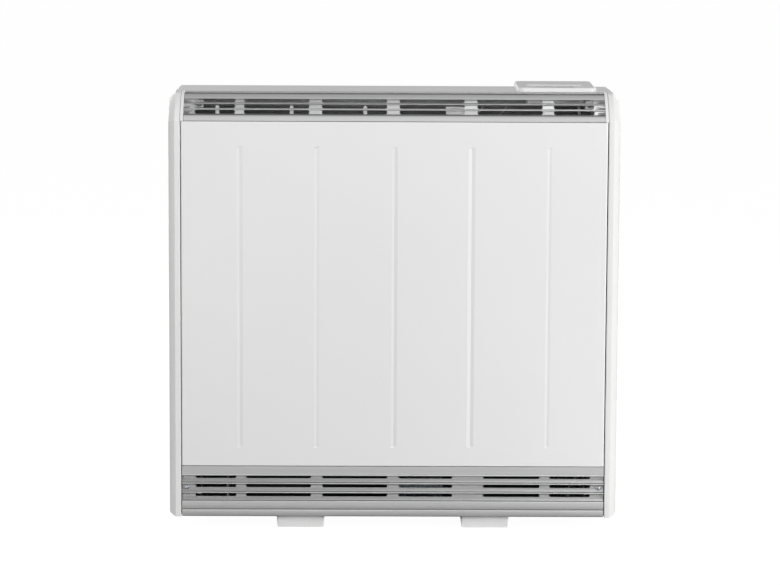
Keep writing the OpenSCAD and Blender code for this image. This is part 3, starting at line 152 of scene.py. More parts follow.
def addNode(tree, kind, inputs, **settings):
    node = tree.nodes.new("ShaderNode" + kind)
    for key, value in settings.items():
        setattr(node, key, value)
    for socket, value in inputs.items():
        if isinstance(value, bpy.types.NodeSocket):
            tree.links.new(value, node.inputs[socket])
        else:
            node.inputs[socket].default_value = value
    return node


def glowMaterial(name, glow, shade):
    material = bpy.data.materials.new(name)
    material.use_nodes = True
    shader = material.node_tree.nodes["Principled BSDF"]
    shader.inputs["Base Color"].default_value = (shade, shade, shade, 1)
    shader.inputs["Roughness"].default_value = 0.9
    shader.inputs["Specular IOR Level"].default_value = 0.0
    shader.inputs["Emission Color"].default_value = (1, 1, 1, 1)
    shader.inputs["Emission Strength"].default_value = glow
    return material


def addGlint(material):
    # a patch of the unseen floor glows, to light the right of the lower grille as in the photograph
    glint = studio["glint"]
    tree = material.node_tree
    place = addNode(tree, "TexCoord", {}).outputs["Object"]
    away = addNode(tree, "VectorMath", {0: place, 1: glint["middle"]}, operation="DISTANCE").outputs["Value"]
    glow = addNode(tree, "MapRange", {"Value": away, "From Min": glint["outer"], "From Max": glint["inner"],
                                      "To Max": glint["strength"]}, interpolation_type="SMOOTHSTEP")
    tree.links.new(glow.outputs["Result"], tree.nodes["Principled BSDF"].inputs["Emission Strength"])


def buildFloor():
    # the floor that is seen, nearly white
    floor = disc("floor", studio["floorRadius"], studio["floorHeight"])
    floor.data.materials.append(glowMaterial("floorWhite", studio["floorGlow"], studio["floorShade"]))
    floor.visible_diffuse = False
    floor.visible_glossy = False

    # the floor that throws light back up on the heater
    bounce = disc("floorBounce", studio["bounceRadius"], studio["bounceHeight"])
    bounce.data.materials.append(glowMaterial("bounceGrey", 0.0, studio["bounceShade"]))
    addGlint(bounce.data.materials[0])
    bounce.visible_camera = False

    # white all round, for the camera alone
    around, upward = studio["skySides"]
    bm = bmesh.new()
    bmesh.ops.create_uvsphere(bm, u_segments=around, v_segments=upward, radius=studio["floorRadius"])
    backdrop = meshPiece("backdrop", bm)
    backdrop.data.materials.append(glowMaterial("backdropWhite", 1.0, 0.0))
    for ray in ("diffuse", "glossy", "transmission", "volume_scatter", "shadow"):
        setattr(backdrop, "visible_" + ray, False)


def hangLamps():
    for name, lamp in studio["lamps"].items():
        data = bpy.data.lights.new(name, "AREA")
        data.shape = "RECTANGLE"
        data.size, data.size_y = lamp["size"]
        data.energy = lamp["power"]
        holder = link(bpy.data.objects.new(name, data))
        place = Vector(lamp["place"])
        turn = (Vector(studio["aim"]) - place).to_track_quat("-Z", "Y").to_matrix().to_4x4()
        holder.matrix_world = Matrix.Translation(place) @ turn


def buildStudio():
    scene.view_settings.view_transform = "Standard"
    world = bpy.data.worlds.new("studioAir")
    scene.world = world
    world.use_nodes = True
    air = world.node_tree.nodes["Background"]
    air.inputs["Color"].default_value = (1, 1, 1, 1)
    air.inputs["Strength"].default_value = studio["ambient"]
    buildFloor()
    hangLamps()


buildStudio()
print("studio built")


# finishes are made of noise, cells and ramps on the piece's own coordinates, in metres
def newFinish(name, rough, metal=0.0, gloss=0.5):
    finish = bpy.data.materials.new(name)
    finish.use_nodes = True
    shader = finish.node_tree.nodes["Principled BSDF"]
    shader.inputs["Roughness"].default_value = rough
    shader.inputs["Metallic"].default_value = metal
    shader.inputs["Specular IOR Level"].default_value = gloss
    return finish, shader


def spread(tree, stretch=(1, 1, 1)):
    place = addNode(tree, "TexCoord", {}).outputs["Object"]
    return addNode(tree, "Mapping", {"Vector": place, "Scale": stretch}).outputs["Vector"]


# scale is in grains per metre
def grain(tree, scale, detail=3.0, stretch=(1, 1, 1), twist=0.0):
    return addNode(tree, "TexNoise", {"Vector": spread(tree, stretch), "Scale": scale, "Detail": detail,
                                      "Distortion": twist}).outputs["Fac"]


def cells(tree, scale, output="Color"):
    return addNode(tree, "TexVoronoi", {"Vector": spread(tree), "Scale": scale}).outputs[output]


def tones(tree, factor, *stops):
    ramp = addNode(tree, "ValToRGB", {"Fac": factor})
    while len(ramp.color_ramp.elements) < len(stops):
        ramp.color_ramp.elements.new(0.5)
    for element, (position, color) in zip(ramp.color_ramp.elements, stops):
        element.position = position
        element.color = (*color, 1)
    return ramp.outputs["Color"]


def between(tree, factor, low, high, start=0.0, end=1.0):
    # goes from low to high while the factor goes from start to end, and stays level beyond
    return addNode(tree, "MapRange", {"Value": factor, "From Min": start, "From Max": end,
                                      "To Min": low, "To Max": high}).outputs["Result"]


def along(tree, axis):
    return addNode(tree, "SeparateXYZ", {"Vector": spread(tree)}).outputs[axis]


def times(tree, color, share):
    return addNode(tree, "VectorMath", {0: color, 1: share}, operation="MULTIPLY").outputs["Vector"]


def shadeByHeight(tree, bands):
    # painted shade as a grey level by height above the floor: (height, level), from the lowest up
    low, high = bands[0][0], bands[-1][0]
    stops = [((z - low) / (high - low), (level, level, level)) for z, level in bands]
    return tones(tree, between(tree, along(tree, "Z"), 0.0, 1.0, start=low, end=high), *stops)


def relief(tree, height, depth, below=None):
    inputs = {"Height": height, "Distance": depth}
    if below is not None:
        inputs["Normal"] = below
    return addNode(tree, "Bump", inputs).outputs["Normal"]


def wire(finish, shader, **sockets):
    names = {"color": "Base Color", "rough": "Roughness", "normal": "Normal"}
    for key, value in sockets.items():
        finish.node_tree.links.new(value, shader.inputs[names[key]])


def shade(color, factor):
    return tuple(channel * factor for channel in color)


# baked powder coat: a faint orange peel and a slow drift in tone
def powderCoat(name, color, peel=650.0, depth=0.00006, rough=0.43):
    finish, shader = newFinish(name, rough)
    tree = finish.node_tree
    drift = grain(tree, 3.2, 2.0)
    wire(finish, shader,
         color=tones(tree, drift, (0.32, shade(color, 0.98)), (0.68, color)),
         rough=between(tree, grain(tree, 38.0, 4.0), rough - 0.06, rough + 0.08),
         normal=relief(tree, grain(tree, peel, 2.0), depth))
    return finish


# moulded housing with the fine grain of the tool
def mouldedResin(name, color, rough=0.5, texture=2300.0, depth=0.00004):
    finish, shader = newFinish(name, rough)
    tree = finish.node_tree
    wire(finish, shader,
         color=tones(tree, grain(tree, 6.0, 3.0), (0.3, shade(color, 0.97)), (0.7, color)),
         rough=between(tree, grain(tree, 60.0, 3.0), rough - 0.06, rough + 0.08),
         normal=relief(tree, grain(tree, texture, 1.0), depth))
    return finish


# satin section with faint draw lines along its length
# channel is (front y, deep y, share of the tone left there), a painted shade that darkens with depth, and
# bands are a painted shade that grades the tone by height
# both were tuned beside the photograph, for the view in it alone
def drawnGrille(name, color, metal=0.7, rough=0.36, channel=None, bands=None):
    finish, shader = newFinish(name, rough, metal=metal)
    tree = finish.node_tree
    lines = grain(tree, 900.0, 4.0, stretch=(0.012, 1, 1))
    tone = tones(tree, lines, (0.3, shade(color, 0.95)), (0.7, color))
    if channel:
        front, deep, left = channel
        tone = times(tree, tone, between(tree, along(tree, "Y"), 1.0, left, start=front, end=deep))
    if bands:
        tone = times(tree, tone, shadeByHeight(tree, bands))
    wire(finish, shader, color=tone,
         rough=between(tree, lines, rough - 0.05, rough + 0.08),
         normal=relief(tree, lines, 0.000012))
    return finish


# hot-dipped sheet with its crystals; bands, when given, add painted shade by height
def spangledZinc(name, color, rough=0.42, crystal=95.0, metal=0.88, darkest=0.72, bands=None):
    finish, shader = newFinish(name, rough, metal=metal)
    tree = finish.node_tree
    spangle = between(tree, cells(tree, crystal), 0, 1)
    streak = grain(tree, 55.0, 5.0, stretch=(0.3, 1, 1))
    tone = addNode(tree, "Mix", {"Factor": 0.35, "A": spangle, "B": streak},
                   data_type="FLOAT").outputs["Result"]
    sheet = tones(tree, tone, (0.15, shade(color, darkest)), (0.85, color))
    if bands:
        sheet = times(tree, sheet, shadeByHeight(tree, bands))
    wire(finish, shader,
         color=sheet,
         rough=between(tree, tone, rough - 0.12, rough + 0.14),
         normal=relief(tree, cells(tree, crystal, output="Distance"), 0.00005))
    return finish


# plated screws and small pressings
def brightZinc(name, color):
    finish, shader = newFinish(name, 0.28, metal=1.0)
    tree = finish.node_tree
    cloud = grain(tree, 420.0, 4.0)
    wire(finish, shader,
         color=tones(tree, cloud, (0.25, shade(color, 0.7)), (0.75, color)),
         rough=between(tree, cloud, 0.2, 0.42),
         normal=relief(tree, grain(tree, 1800.0), 0.00003))
    return finish


def pressedBrick(name, color):
    finish, shader = newFinish(name, 0.92, gloss=0.25)
    tree = finish.node_tree
    grit = grain(tree, 240.0, 8.0)
    pores = cells(tree, 420.0, output="Distance")
    wire(finish, shader,
         color=tones(tree, grit, (0.28, shade(color, 0.45)), (0.52, color), (0.8, shade(color, 1.5))),
         normal=relief(tree, pores, 0.0004, below=relief(tree, grit, 0.0006)))
    return finish


# pressed fibre insulation
def fibreBoard(name, color):
    finish, shader = newFinish(name, 0.97, gloss=0.15)
    tree = finish.node_tree
    fibres = grain(tree, 320.0, 8.0, stretch=(0.25, 1, 0.35), twist=2.2)
    wire(finish, shader,
         color=tones(tree, fibres, (0.3, shade(color, 0.72)), (0.7, color)),
         normal=relief(tree, fibres, 0.0007))
    return finish


# element sheath, dark with oxide
def scaledSheath(name, color, rust=(0.30, 0.20, 0.13)):
    finish, shader = newFinish(name, 0.6, metal=0.75)
    tree = finish.node_tree
    oxide = grain(tree, 90.0, 7.0)
    wire(finish, shader,
         color=tones(tree, oxide, (0.3, shade(color, 0.5)), (0.55, color), (0.8, rust)),
         rough=between(tree, oxide, 0.45, 0.8),
         normal=relief(tree, oxide, 0.00015))
    return finish


# metal brushed along the casing
def brushedMetal(name, color, metal=0.95, rough=0.36):
    finish, shader = newFinish(name, rough, metal=metal)
    tree = finish.node_tree
    lines = grain(tree, 1100.0, 5.0, stretch=(0.02, 1, 1))
    wire(finish, shader,
         color=tones(tree, lines, (0.25, shade(color, 0.8)), (0.75, color)),
         rough=between(tree, lines, rough - 0.08, rough + 0.14),
         normal=relief(tree, lines, 0.00004))
    return finish


def sinteredBush(name, color):
    finish, shader = newFinish(name, 0.5, metal=0.95)
    tree = finish.node_tree
    pores = cells(tree, 3200.0, output="Distance")
    wire(finish, shader,
         color=tones(tree, pores, (0.1, shade(color, 0.5)), (0.5, color)),
         normal=relief(tree, pores, 0.00008))
    return finish


# lacquered board with copper tracks under the lacquer
def circuitBoard(name, color):
    finish, shader = newFinish(name, 0.3)
    tree = finish.node_tree
    tracks = addNode(tree, "TexBrick", {"Vector": spread(tree), "Scale": 260.0,
                                        "Mortar Size": 0.035, "Mortar Smooth": 0.1,
                                        "Brick Width": 0.9, "Row Height": 0.42},
                     offset=0.37, squash=0.6, squash_frequency=3).outputs["Fac"]
    wire(finish, shader,
         color=tones(tree, tracks, (0.2, color), (0.8, shade(color, 1.9))),
         rough=between(tree, grain(tree, 500.0), 0.24, 0.4),
         normal=relief(tree, tracks, 0.00006))
    return finish


def softRubber(name, color):
    finish, shader = newFinish(name, 0.75, gloss=0.3)
    tree = finish.node_tree
    bloom = grain(tree, 120.0, 5.0)
    wire(finish, shader,
         color=tones(tree, bloom, (0.35, color), (0.75, shade(color, 1.9))),
         rough=between(tree, bloom, 0.62, 0.85),
         normal=relief(tree, grain(tree, 1500.0), 0.00005))
    return finish


# display window, clear enough to show the display below it
def clearWindow(name, tint=(0.30, 0.32, 0.33), cover=0.25):
    finish, shader = newFinish(name, 0.06, gloss=0.6)
    tree = finish.node_tree
    shader.inputs["Base Color"].default_value = (*tint, 1)
    shader.inputs["Alpha"].default_value = cover
    smear = grain(tree, 30.0, 4.0)
    wire(finish, shader,
         rough=between(tree, smear, 0.04, 0.12),
         normal=relief(tree, smear, 0.00002))
    return finish


# unlit dot display: pale cells with a dark net between them
def dotDisplay(name, color, pitch=0.0009):
    finish, shader = newFinish(name, 0.3)
    tree = finish.node_tree
    net = addNode(tree, "TexBrick", {"Vector": spread(tree), "Scale": 1.0 / pitch,
                                     "Mortar Size": 0.06, "Mortar Smooth": 0.2,
                                     "Brick Width": 1.0, "Row Height": 1.0}, offset=0.0).outputs["Fac"]
    wire(finish, shader,
         color=tones(tree, net, (0.1, color), (0.9, shade(color, 0.7))),
         rough=between(tree, grain(tree, 90.0), 0.24, 0.38))
    return finish


# printed mark on a button, slightly worn
def printInk(name, color):
    finish, shader = newFinish(name, 0.55)
    tree = finish.node_tree
    wear = grain(tree, 1400.0, 4.0)
    wire(finish, shader,
         color=tones(tree, wear, (0.25, shade(color, 1.6)), (0.5, color)),
         rough=between(tree, wear, 0.45, 0.65))
    return finish


finishes = {
    "whitePaint": powderCoat("whitePaint", (0.80, 0.80, 0.80)),
    # a lighter copy of the white paint for the rail behind the top grille: painted light
    "litRailPaint": powderCoat("litRailPaint", (0.94, 0.94, 0.94)),
    # the top grille's finish has painted shade by height, under its blades and along its bands
    "shadedGrillePaint": drawnGrille("shadedGrillePaint", (0.69, 0.692, 0.692),
                               bands=[(0.6504, 0.96), (0.6545, 0.93), (0.6560, 0.89), (0.6571, 0.82),
                                      (0.6583, 0.62), (0.6590, 0.46), (0.6602, 0.42), (0.6604, 0.87),
                                      (0.6740, 0.87), (0.6750, 0.66), (0.6768, 0.66), (0.6778, 0.87),
                                      (0.6828, 0.87), (0.6832, 1.00), (0.6850, 0.96), (0.6880, 0.92),
                                      (0.6902, 0.90)]),
    # the lower grille's finish darkens with depth into its channels: painted shade
    "shadedLowerGrillePaint": drawnGrille("shadedLowerGrillePaint", (0.71, 0.712, 0.712), metal=0.5, rough=0.34,
                                    channel=(-0.0973, -0.0938, 0.52)),
    # a dark copy of the grille finish: painted shade for the lower grille's corners
    "cornerShadePaint": drawnGrille("cornerShadePaint", (0.24, 0.241, 0.241), metal=0.3, rough=0.5),
    "capResin": mouldedResin("capResin", (0.79, 0.787, 0.78)),
    "footResin": mouldedResin("footResin", (0.94, 0.94, 0.935), rough=0.6),
    "consoleResin": mouldedResin("consoleResin", (0.74, 0.738, 0.735), rough=0.4),
    "buttonResin": mouldedResin("buttonResin", (0.70, 0.70, 0.70), rough=0.5),
    "creamResin": mouldedResin("creamResin", (0.80, 0.76, 0.62), rough=0.45),
    "blackResin": mouldedResin("blackResin", (0.03, 0.03, 0.032), rough=0.42),
    "zincSheet": spangledZinc("zincSheet", (0.62, 0.64, 0.66)),
    # a darker copy of the zinc sheet for the core deep in the casing: painted shade
    "shadedCoreZinc": spangledZinc("shadedCoreZinc", (0.25, 0.255, 0.26), rough=0.6, crystal=60.0),
    # the back panel's inner face: painted shade, darker towards the bottom and lighter only near the top
    "shadedInnerZinc": spangledZinc("shadedInnerZinc", (0.86, 0.865, 0.87), rough=0.6, crystal=25.0, metal=0.3,
                              darkest=0.93,
                              bands=[(0.600, 0.22), (0.645, 0.30), (0.6590, 0.28), (0.6665, 1.0)]),
    "screwZinc": brightZinc("screwZinc", (0.62, 0.68, 0.74)),
    "motorCase": brushedMetal("motorCase", (0.42, 0.48, 0.54), metal=0.8, rough=0.4),
    "rotorBlack": brushedMetal("rotorBlack", (0.07, 0.075, 0.08), metal=0.6, rough=0.45),
    "bracketSteel": brushedMetal("bracketSteel", (0.74, 0.75, 0.755), metal=0.9, rough=0.34),
    "flapMetal": brushedMetal("flapMetal", (0.40, 0.405, 0.41), rough=0.5),
    "bush": sinteredBush("bush", (0.55, 0.38, 0.18)),
    "brick": pressedBrick("brick", (0.17, 0.105, 0.08)),
    "fibre": fibreBoard("fibre", (0.74, 0.69, 0.55)),
    "sheath": scaledSheath("sheath", (0.12, 0.11, 0.105)),
    "board": circuitBoard("board", (0.012, 0.035, 0.024)),
    "leadSleeve": mouldedResin("leadSleeve", (0.78, 0.77, 0.73), rough=0.4),
    "rubber": softRubber("rubber", (0.022, 0.022, 0.023)),
    "window": clearWindow("window"),
    "dots": dotDisplay("dots", (0.50, 0.53, 0.52)),
    "ink": printInk("ink", (0.16, 0.165, 0.17)),
}
print("finishes made:", len(finishes))

nodeFinish = {
    "whitePaint": ["top_panel", "front_panel"],
    "litRailPaint": ["front_rail", "grille_brackets"],
    "shadedGrillePaint": ["top_grille"],
    "shadedLowerGrillePaint": ["bottom_grille"],
    "capResin": ["left_end_cap", "right_end_cap"],
    "footResin": ["left_foot", "right_foot"],
    "consoleResin": ["console_housing"],
    "buttonResin": ["button_back", "button_down", "button_up", "button_select", "button_boost"],
    "creamResin": ["damper_motor", "terminal_block"],
    "blackResin": ["thermal_cutout"],
    "zincSheet": ["back_panel", "base_tray", "left_side_panel", "right_side_panel",
                  "fan_housing", "damper_brackets"],
    "shadedCoreZinc": ["core_support", "inner_case_front", "inner_case_rear", "inner_case_top"],
    "screwZinc": ["bracket_screws", "bottom_grille_screws", "cap_screws", "foot_screws", "core_sensor"],
    "motorCase": ["fan_motor"],
    "rotorBlack": ["fan_rotor"],
    "flapMetal": ["damper_flap"],
    "bracketSteel": ["wall_bracket"],
    "bush": ["fan_bearing"],
    "brick": ["brick_course_%d" % course for course in range(1, 6)],
    "fibre": ["base_insulation", "front_insulation", "rear_insulation", "left_insulation",
              "right_insulation", "top_insulation"],
    "sheath": ["lower_element", "middle_element", "upper_element"],
    "board": ["control_board", "console_board"],
    "leadSleeve": ["console_lead"],
    "rubber": ["cable_grommet"],
    "window": ["display_lens"],
}


def dressNodes():
    for finishName, members in nodeFinish.items():
        for member in members:
            mesh = nodes[member].data
            mesh.materials.clear()
            mesh.materials.append(finishes[finishName])


dressNodes()
print("frame dressed")


# these pieces get soft edges: the same shape, with its sharp edges rolled over by this many metres
softEdges = {
    "left_end_cap": 0.0006, "right_end_cap": 0.0006,
    "top_panel": 0.0003, "front_panel": 0.0004,
    "top_grille": 0.00025, "bottom_grille": 0.0003,
    "left_foot": 0.0008, "right_foot": 0.0008,
    "console_housing": 0.0003,
    "button_back": 0.00025, "button_down": 0.00025, "button_up": 0.00025,
    "button_select": 0.00025, "button_boost": 0.00025,
    "front_rail": 0.0002, "grille_brackets": 0.0002,
    "back_panel": 0.0002, "wall_bracket": 0.0003, "cable_grommet": 0.0004,
    "fan_motor": 0.0003,
}
edgeRules = {
    "sharpFrom": 32,                   # degrees: edges above this are rolled over
    "smoothBelow": 50,                 # degrees: edges below this are shaded smooth
    "keepCrisp": {"front_panel": 3},   # the same for the front panel, so that its flutes stay crisp
    "flatWithin": 0.5,                 # degrees: faces that differ less become one
    "weld": 1e-6,                      # metres: corners nearer than this become one
    "sliver": 2e-6,                    # metres: edges shorter than this go
}


# the middle line of each flute goes in by deeper, on both sides of the sheet, to shade as in the photograph
flutes = {
    "count": 5,
    "pitch": 0.12175,
    "faceAt": -0.0975,
    "nearest": 0.0005, "farthest": 0.0040,   # how far behind the face the corners of a flute lie
    "lineHalf": 0.0006,
    "deeper": 0.0005,
}


def deepenFlutes(bm):
    for corner in bm.verts:
        if not flutes["faceAt"] + flutes["nearest"] < corner.co.y < flutes["faceAt"] + flutes["farthest"]:
            continue
        for k in range(flutes["count"]):
            middle = (k - (flutes["count"] - 1) / 2) * flutes["pitch"]
            if abs(corner.co.x - middle) < flutes["lineHalf"]:
                corner.co.y += flutes["deeper"]


# the plain bands of the lower grille are made slightly hollow, to shade as in the photograph
bandHollows = {
    "faceAt": -0.0965,
    "within": 1e-5,
    "bands": {   # (height, how far back the face goes there), from the top down
        "lip": [(0.0998, 0.0), (0.0955, 0.0), (0.0935, 0.00008), (0.0918, 0.00020), (0.0896, 0.00042)],
        "plinth": [(0.0440, 0.0001), (0.0425, 0.0), (0.0405, 0.00002), (0.0388, 0.00012),
                   (0.0372, 0.00035), (0.0358, 0.00070), (0.0344, 0.00110)],
        "toe": [(0.0304, 0.0), (0.0285, 0.0), (0.0272, 0.00008), (0.0260, 0.00025), (0.0250, 0.00050)],
    },
}


def cutAcross(bm, place, direction):
    bmesh.ops.bisect_plane(bm, geom=bm.verts[:] + bm.edges[:] + bm.faces[:], dist=edgeRules["weld"],
                           plane_co=place, plane_no=direction)


def hollowBands(bm):
    within = bandHollows["within"]
    for stops in bandHollows["bands"].values():
        for height, _ in stops[1:-1]:
            cutAcross(bm, (0, 0, height), (0, 0, 1))
        for corner in bm.verts:
            if corner.co.y > bandHollows["faceAt"]:
                continue
            for (top, back), (bottom, backBelow) in zip(stops, stops[1:]):
                if bottom - within <= corner.co.z <= top + within:
                    share = min(1.0, max(0.0, (top - corner.co.z) / (top - bottom)))
                    corner.co.y += back + (backBelow - back) * share
                    break


def finalMesh(piece):
    bpy.context.view_layer.update()
    return bpy.data.meshes.new_from_object(piece.evaluated_get(bpy.context.evaluated_depsgraph_get()))


def weighNormals(piece):
    # large flat faces keep their own direction beside the rolled edges
    weigh = piece.modifiers.new("weigh", "WEIGHTED_NORMAL")
    weigh.keep_sharp = True
    weigh.weight = 100
    plain = piece.data
    piece.data = finalMesh(piece)
    piece.modifiers.clear()
    bpy.data.meshes.remove(plain)
    piece.data.name = piece.name


def pieceFrom(name, bm, finish, body="casing", smoothBelow=40):
    mesh = bpy.data.meshes.new(name + "Plain")
    bm.to_mesh(mesh)
    bm.free()
    mesh.materials.append(finish)
    mesh.polygons.foreach_set("use_smooth", [True] * len(mesh.polygons))
    mesh.set_sharp_from_angle(angle=math.radians(smoothBelow))
    piece = link(bpy.data.objects.new(name, mesh))
    weighNormals(piece)
    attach(piece, body)
    return piece


# the folded front edge of the top panel has the lower grille's finish, between the strips beside the grille
foldTrim = {"halfWidth": 0.3308, "front": -0.0465, "lowest": 0.6905, "highest": 0.6938}


def softenEdges(nodeName, width):
    source = nodes[nodeName]
    bm = bmesh.new()
    bm.from_mesh(source.data)
    bmesh.ops.remove_doubles(bm, verts=bm.verts, dist=edgeRules["weld"])
    bmesh.ops.dissolve_limit(bm, angle_limit=math.radians(edgeRules["flatWithin"]), verts=bm.verts,
                             edges=bm.edges)
    if nodeName == "front_panel":
        deepenFlutes(bm)
    if nodeName == "bottom_grille":
        hollowBands(bm)
    if nodeName == "top_panel":
        for side in (-1, 1):
            cutAcross(bm, (side * foldTrim["halfWidth"], 0, 0), (1, 0, 0))
    crisp = [edge for edge in bm.edges if len(edge.link_faces) == 2
             and edge.calc_face_angle(0) > math.radians(edgeRules["sharpFrom"])]
    bmesh.ops.bevel(bm, geom=crisp, offset=width, segments=2, profile=0.5, affect="EDGES",
                    clamp_overlap=True)
    bmesh.ops.dissolve_degenerate(bm, dist=edgeRules["sliver"], edges=bm.edges)
    piece = pieceFrom(nodeName + "Soft", bm, source.data.materials[0], body=body_of(source)[0],
                      smoothBelow=edgeRules["keepCrisp"].get(nodeName, edgeRules["smoothBelow"]))
    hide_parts(nodeName)
    return piece


softPieces = {nodeName: softenEdges(nodeName, width) for nodeName, width in softEdges.items()}
print("edges softened:", len(softPieces))


# painted shade, darker in the corners behind the blades of the lower grille and in its groove, to match the
# photograph
grilleShadeCorners = {
    "front": -0.0969, "rear": -0.0938,
    "lowest": 0.0450, "highest": 0.0765,
    "facingUp": 0.6,          # z of the normal: faces above this look up
    "rearWithin": 0.0003,
    "groove": (0.0312, 0.0336),
    "grooveFront": -0.0970, "grooveRear": -0.0950,
}
facingFront = -0.5            # y of the normal: faces below this look to the front


def inShadedCorner(middle, normal):
    low, high = grilleShadeCorners["groove"]
    if low < middle.z < high and grilleShadeCorners["grooveFront"] < middle.y < grilleShadeCorners["grooveRear"]:
        return True
    if not grilleShadeCorners["front"] < middle.y < grilleShadeCorners["rear"]:
        return False
    if not grilleShadeCorners["lowest"] < middle.z < grilleShadeCorners["highest"]:
        return False
    atRear = abs(middle.y - grilleShadeCorners["rear"]) < grilleShadeCorners["rearWithin"]
    return atRear or normal.z > grilleShadeCorners["facingUp"]


def onFold(middle, normal):
    return (abs(middle.x) < foldTrim["halfWidth"] and middle.y < foldTrim["front"]
            and normal.y < facingFront and foldTrim["lowest"] < middle.z < foldTrim["highest"])


def onInside(middle, normal):
    return normal.y < facingFront


def refinish(nodeName, finishName, chosen):
    piece = softPieces[nodeName]
    piece.data.materials.append(finishes[finishName])
    for face in piece.data.polygons:
        if chosen(face.center, face.normal):
            face.material_index = 1


refinish("top_panel", "shadedLowerGrillePaint", onFold)
# painted shade in the corners and groove of the lower grille
refinish("bottom_grille", "cornerShadePaint", inShadedCorner)
# the inner face gets painted shade, darker towards the bottom
refinish("back_panel", "shadedInnerZinc", onInside)     # seen through the slots of the top grille
print("fold, corners and inner face refinished")


# screws with a cross in the head; toward is the way the head looks
screwHead = {
    "grilleRadius": 0.0030, "grilleHeight": 0.0016,
    "panelRadius": 0.0034, "panelHeight": 0.0020,
    "backHeights": (0.070, 0.255, 0.440, 0.640), "backOut": 0.328,
    "sides": 32, "shankSides": 24,
    # all below in shares: of the head's radius and height, and foot and mouth of the cross's outline
    "profile": [(1.0, 0.0), (1.0, 0.25), (0.93, 0.55), (0.78, 0.8), (0.55, 0.94), (0.3, 1.0)],
    "crossLength": 0.62, "crossWidth": 0.17, "crossDepth": 0.75,
    "crossFoot": 0.7, "crossMouth": 1.1, "crossTop": 1.3,
    "shankRadius": 0.5,
}


def joinRings(bm, rings):
    for low, high in zip(rings, rings[1:]):
        for k in range(len(low)):
            following = (k + 1) % len(low)
            bm.faces.new((low[k], low[following], high[following], high[k]))


def roundHead(radius, height):
    head = bmesh.new()
    sides = screwHead["sides"]
    rings = []
    for share, lift in screwHead["profile"]:
        rings.append([head.verts.new((radius * share * math.cos(2 * math.pi * k / sides),
                                      radius * share * math.sin(2 * math.pi * k / sides),
                                      height * lift)) for k in range(sides)])
    joinRings(head, rings)
    head.faces.new(rings[-1])
    head.faces.new(list(reversed(rings[0])))
    return meshPiece("head", head)


def crossCutter(radius, height):
    cross = bmesh.new()
    reach = radius * screwHead["crossLength"]
    half = radius * screwHead["crossWidth"]
    foot, mouth = screwHead["crossFoot"], screwHead["crossMouth"]
    floor = height * (1 - screwHead["crossDepth"])
    above = height * screwHead["crossTop"]
    outline = [(half, half), (half, reach), (-half, reach), (-half, half), (-reach, half), (-reach, -half),
               (-half, -half), (-half, -reach), (half, -reach), (half, -half), (reach, -half), (reach, half)]
    low = [cross.verts.new((x * foot, y * foot, floor)) for x, y in outline]
    high = [cross.verts.new((x * mouth, y * mouth, above)) for x, y in outline]
    joinRings(cross, [low, high])
    cross.faces.new(list(reversed(low)))
    cross.faces.new(high)
    bmesh.ops.recalc_face_normals(cross, faces=cross.faces)
    return meshPiece("cross", cross)


def addScrew(bm, place, toward, radius, height, shank=0.0):
    headPiece = roundHead(radius, height)
    crossPiece = crossCutter(radius, height)
    cut = headPiece.modifiers.new("cross", "BOOLEAN")
    cut.operation = "DIFFERENCE"
    cut.solver = "EXACT"
    cut.object = crossPiece
    shape = finalMesh(headPiece)
    seat = Matrix.Translation(place) @ Vector(toward).to_track_quat("Z", "Y").to_matrix().to_4x4()
    shape.transform(seat)
    bm.from_mesh(shape)
    for used in (headPiece, crossPiece):
        bpy.data.objects.remove(used)
    if shank > 0:
        width = radius * screwHead["shankRadius"]
        bmesh.ops.create_cone(bm, cap_ends=True, segments=screwHead["shankSides"], radius1=width,
                              radius2=width, depth=shank,
                              matrix=seat @ Matrix.Translation((0, 0, -shank / 2)))


def screwPiece(name, bm, replaced=None):
    piece = pieceFrom(name, bm, finishes["screwZinc"], smoothBelow=30)
    if replaced:
        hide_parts(replaced)


def screwsOf(name, places, toward, radius, height, replaced=None, shank=0.0):
    bm = bmesh.new()
    for place in places:
        addScrew(bm, place, toward, radius, height, shank)
    screwPiece(name, bm, replaced)


# boxes of the loose solids in one node
def solidsOf(nodeName):
    bm = bmesh.new()
    bm.from_mesh(nodes[nodeName].data)
    bmesh.ops.remove_doubles(bm, verts=bm.verts, dist=edgeRules["weld"])
    boxes, seen = [], set()
    for start in bm.verts:
        if start in seen:
            continue
        seen.add(start)
        todo, found = [start], []
        while todo:
            corner = todo.pop()
            found.append(corner.co.copy())
            for edge in corner.link_edges:
                other = edge.other_vert(corner)
                if other not in seen:
                    seen.add(other)
                    todo.append(other)
        boxes.append([Vector([pick(point[axis] for point in found) for axis in range(3)])
                      for pick in (min, max)])
    bm.free()
    return boxes


def fitGrilleScrews():
    height = screwHead["grilleHeight"]
    boxes = solidsOf("bottom_grille_screws")
    places = [((low.x + high.x) / 2, low.y + height, (low.z + high.z) / 2) for low, high in boxes]
    screwsOf("lowerGrilleScrews", places, (0, -1, 0), screwHead["grilleRadius"], height,
             replaced="bottom_grille_screws", shank=boxes[0][1].y - boxes[0][0].y - height)


def fitBracketScrews():
    radius, height = screwHead["panelRadius"], screwHead["panelHeight"]
    bm = bmesh.new()
    for low, high in solidsOf("bracket_screws"):
        x, z = (low.x + high.x) / 2, (low.z + high.z) / 2
        y, toward = (low.y + height, (0, -1, 0)) if low.y < 0 else (high.y - height, (0, 1, 0))
        addScrew(bm, (x, y, z), toward, radius, height, high.y - low.y - height)
    screwPiece("bracketScrews", bm, "bracket_screws")


def fitFootScrews():
    height = screwHead["panelHeight"]
    boxes = solidsOf("foot_screws")
    places = [((low.x + high.x) / 2, (low.y + high.y) / 2, low.z + height) for low, high in boxes]
    screwsOf("footScrews", places, (0, 0, -1), screwHead["panelRadius"], height, replaced="foot_screws",
             shank=boxes[0][1].z - boxes[0][0].z - height)


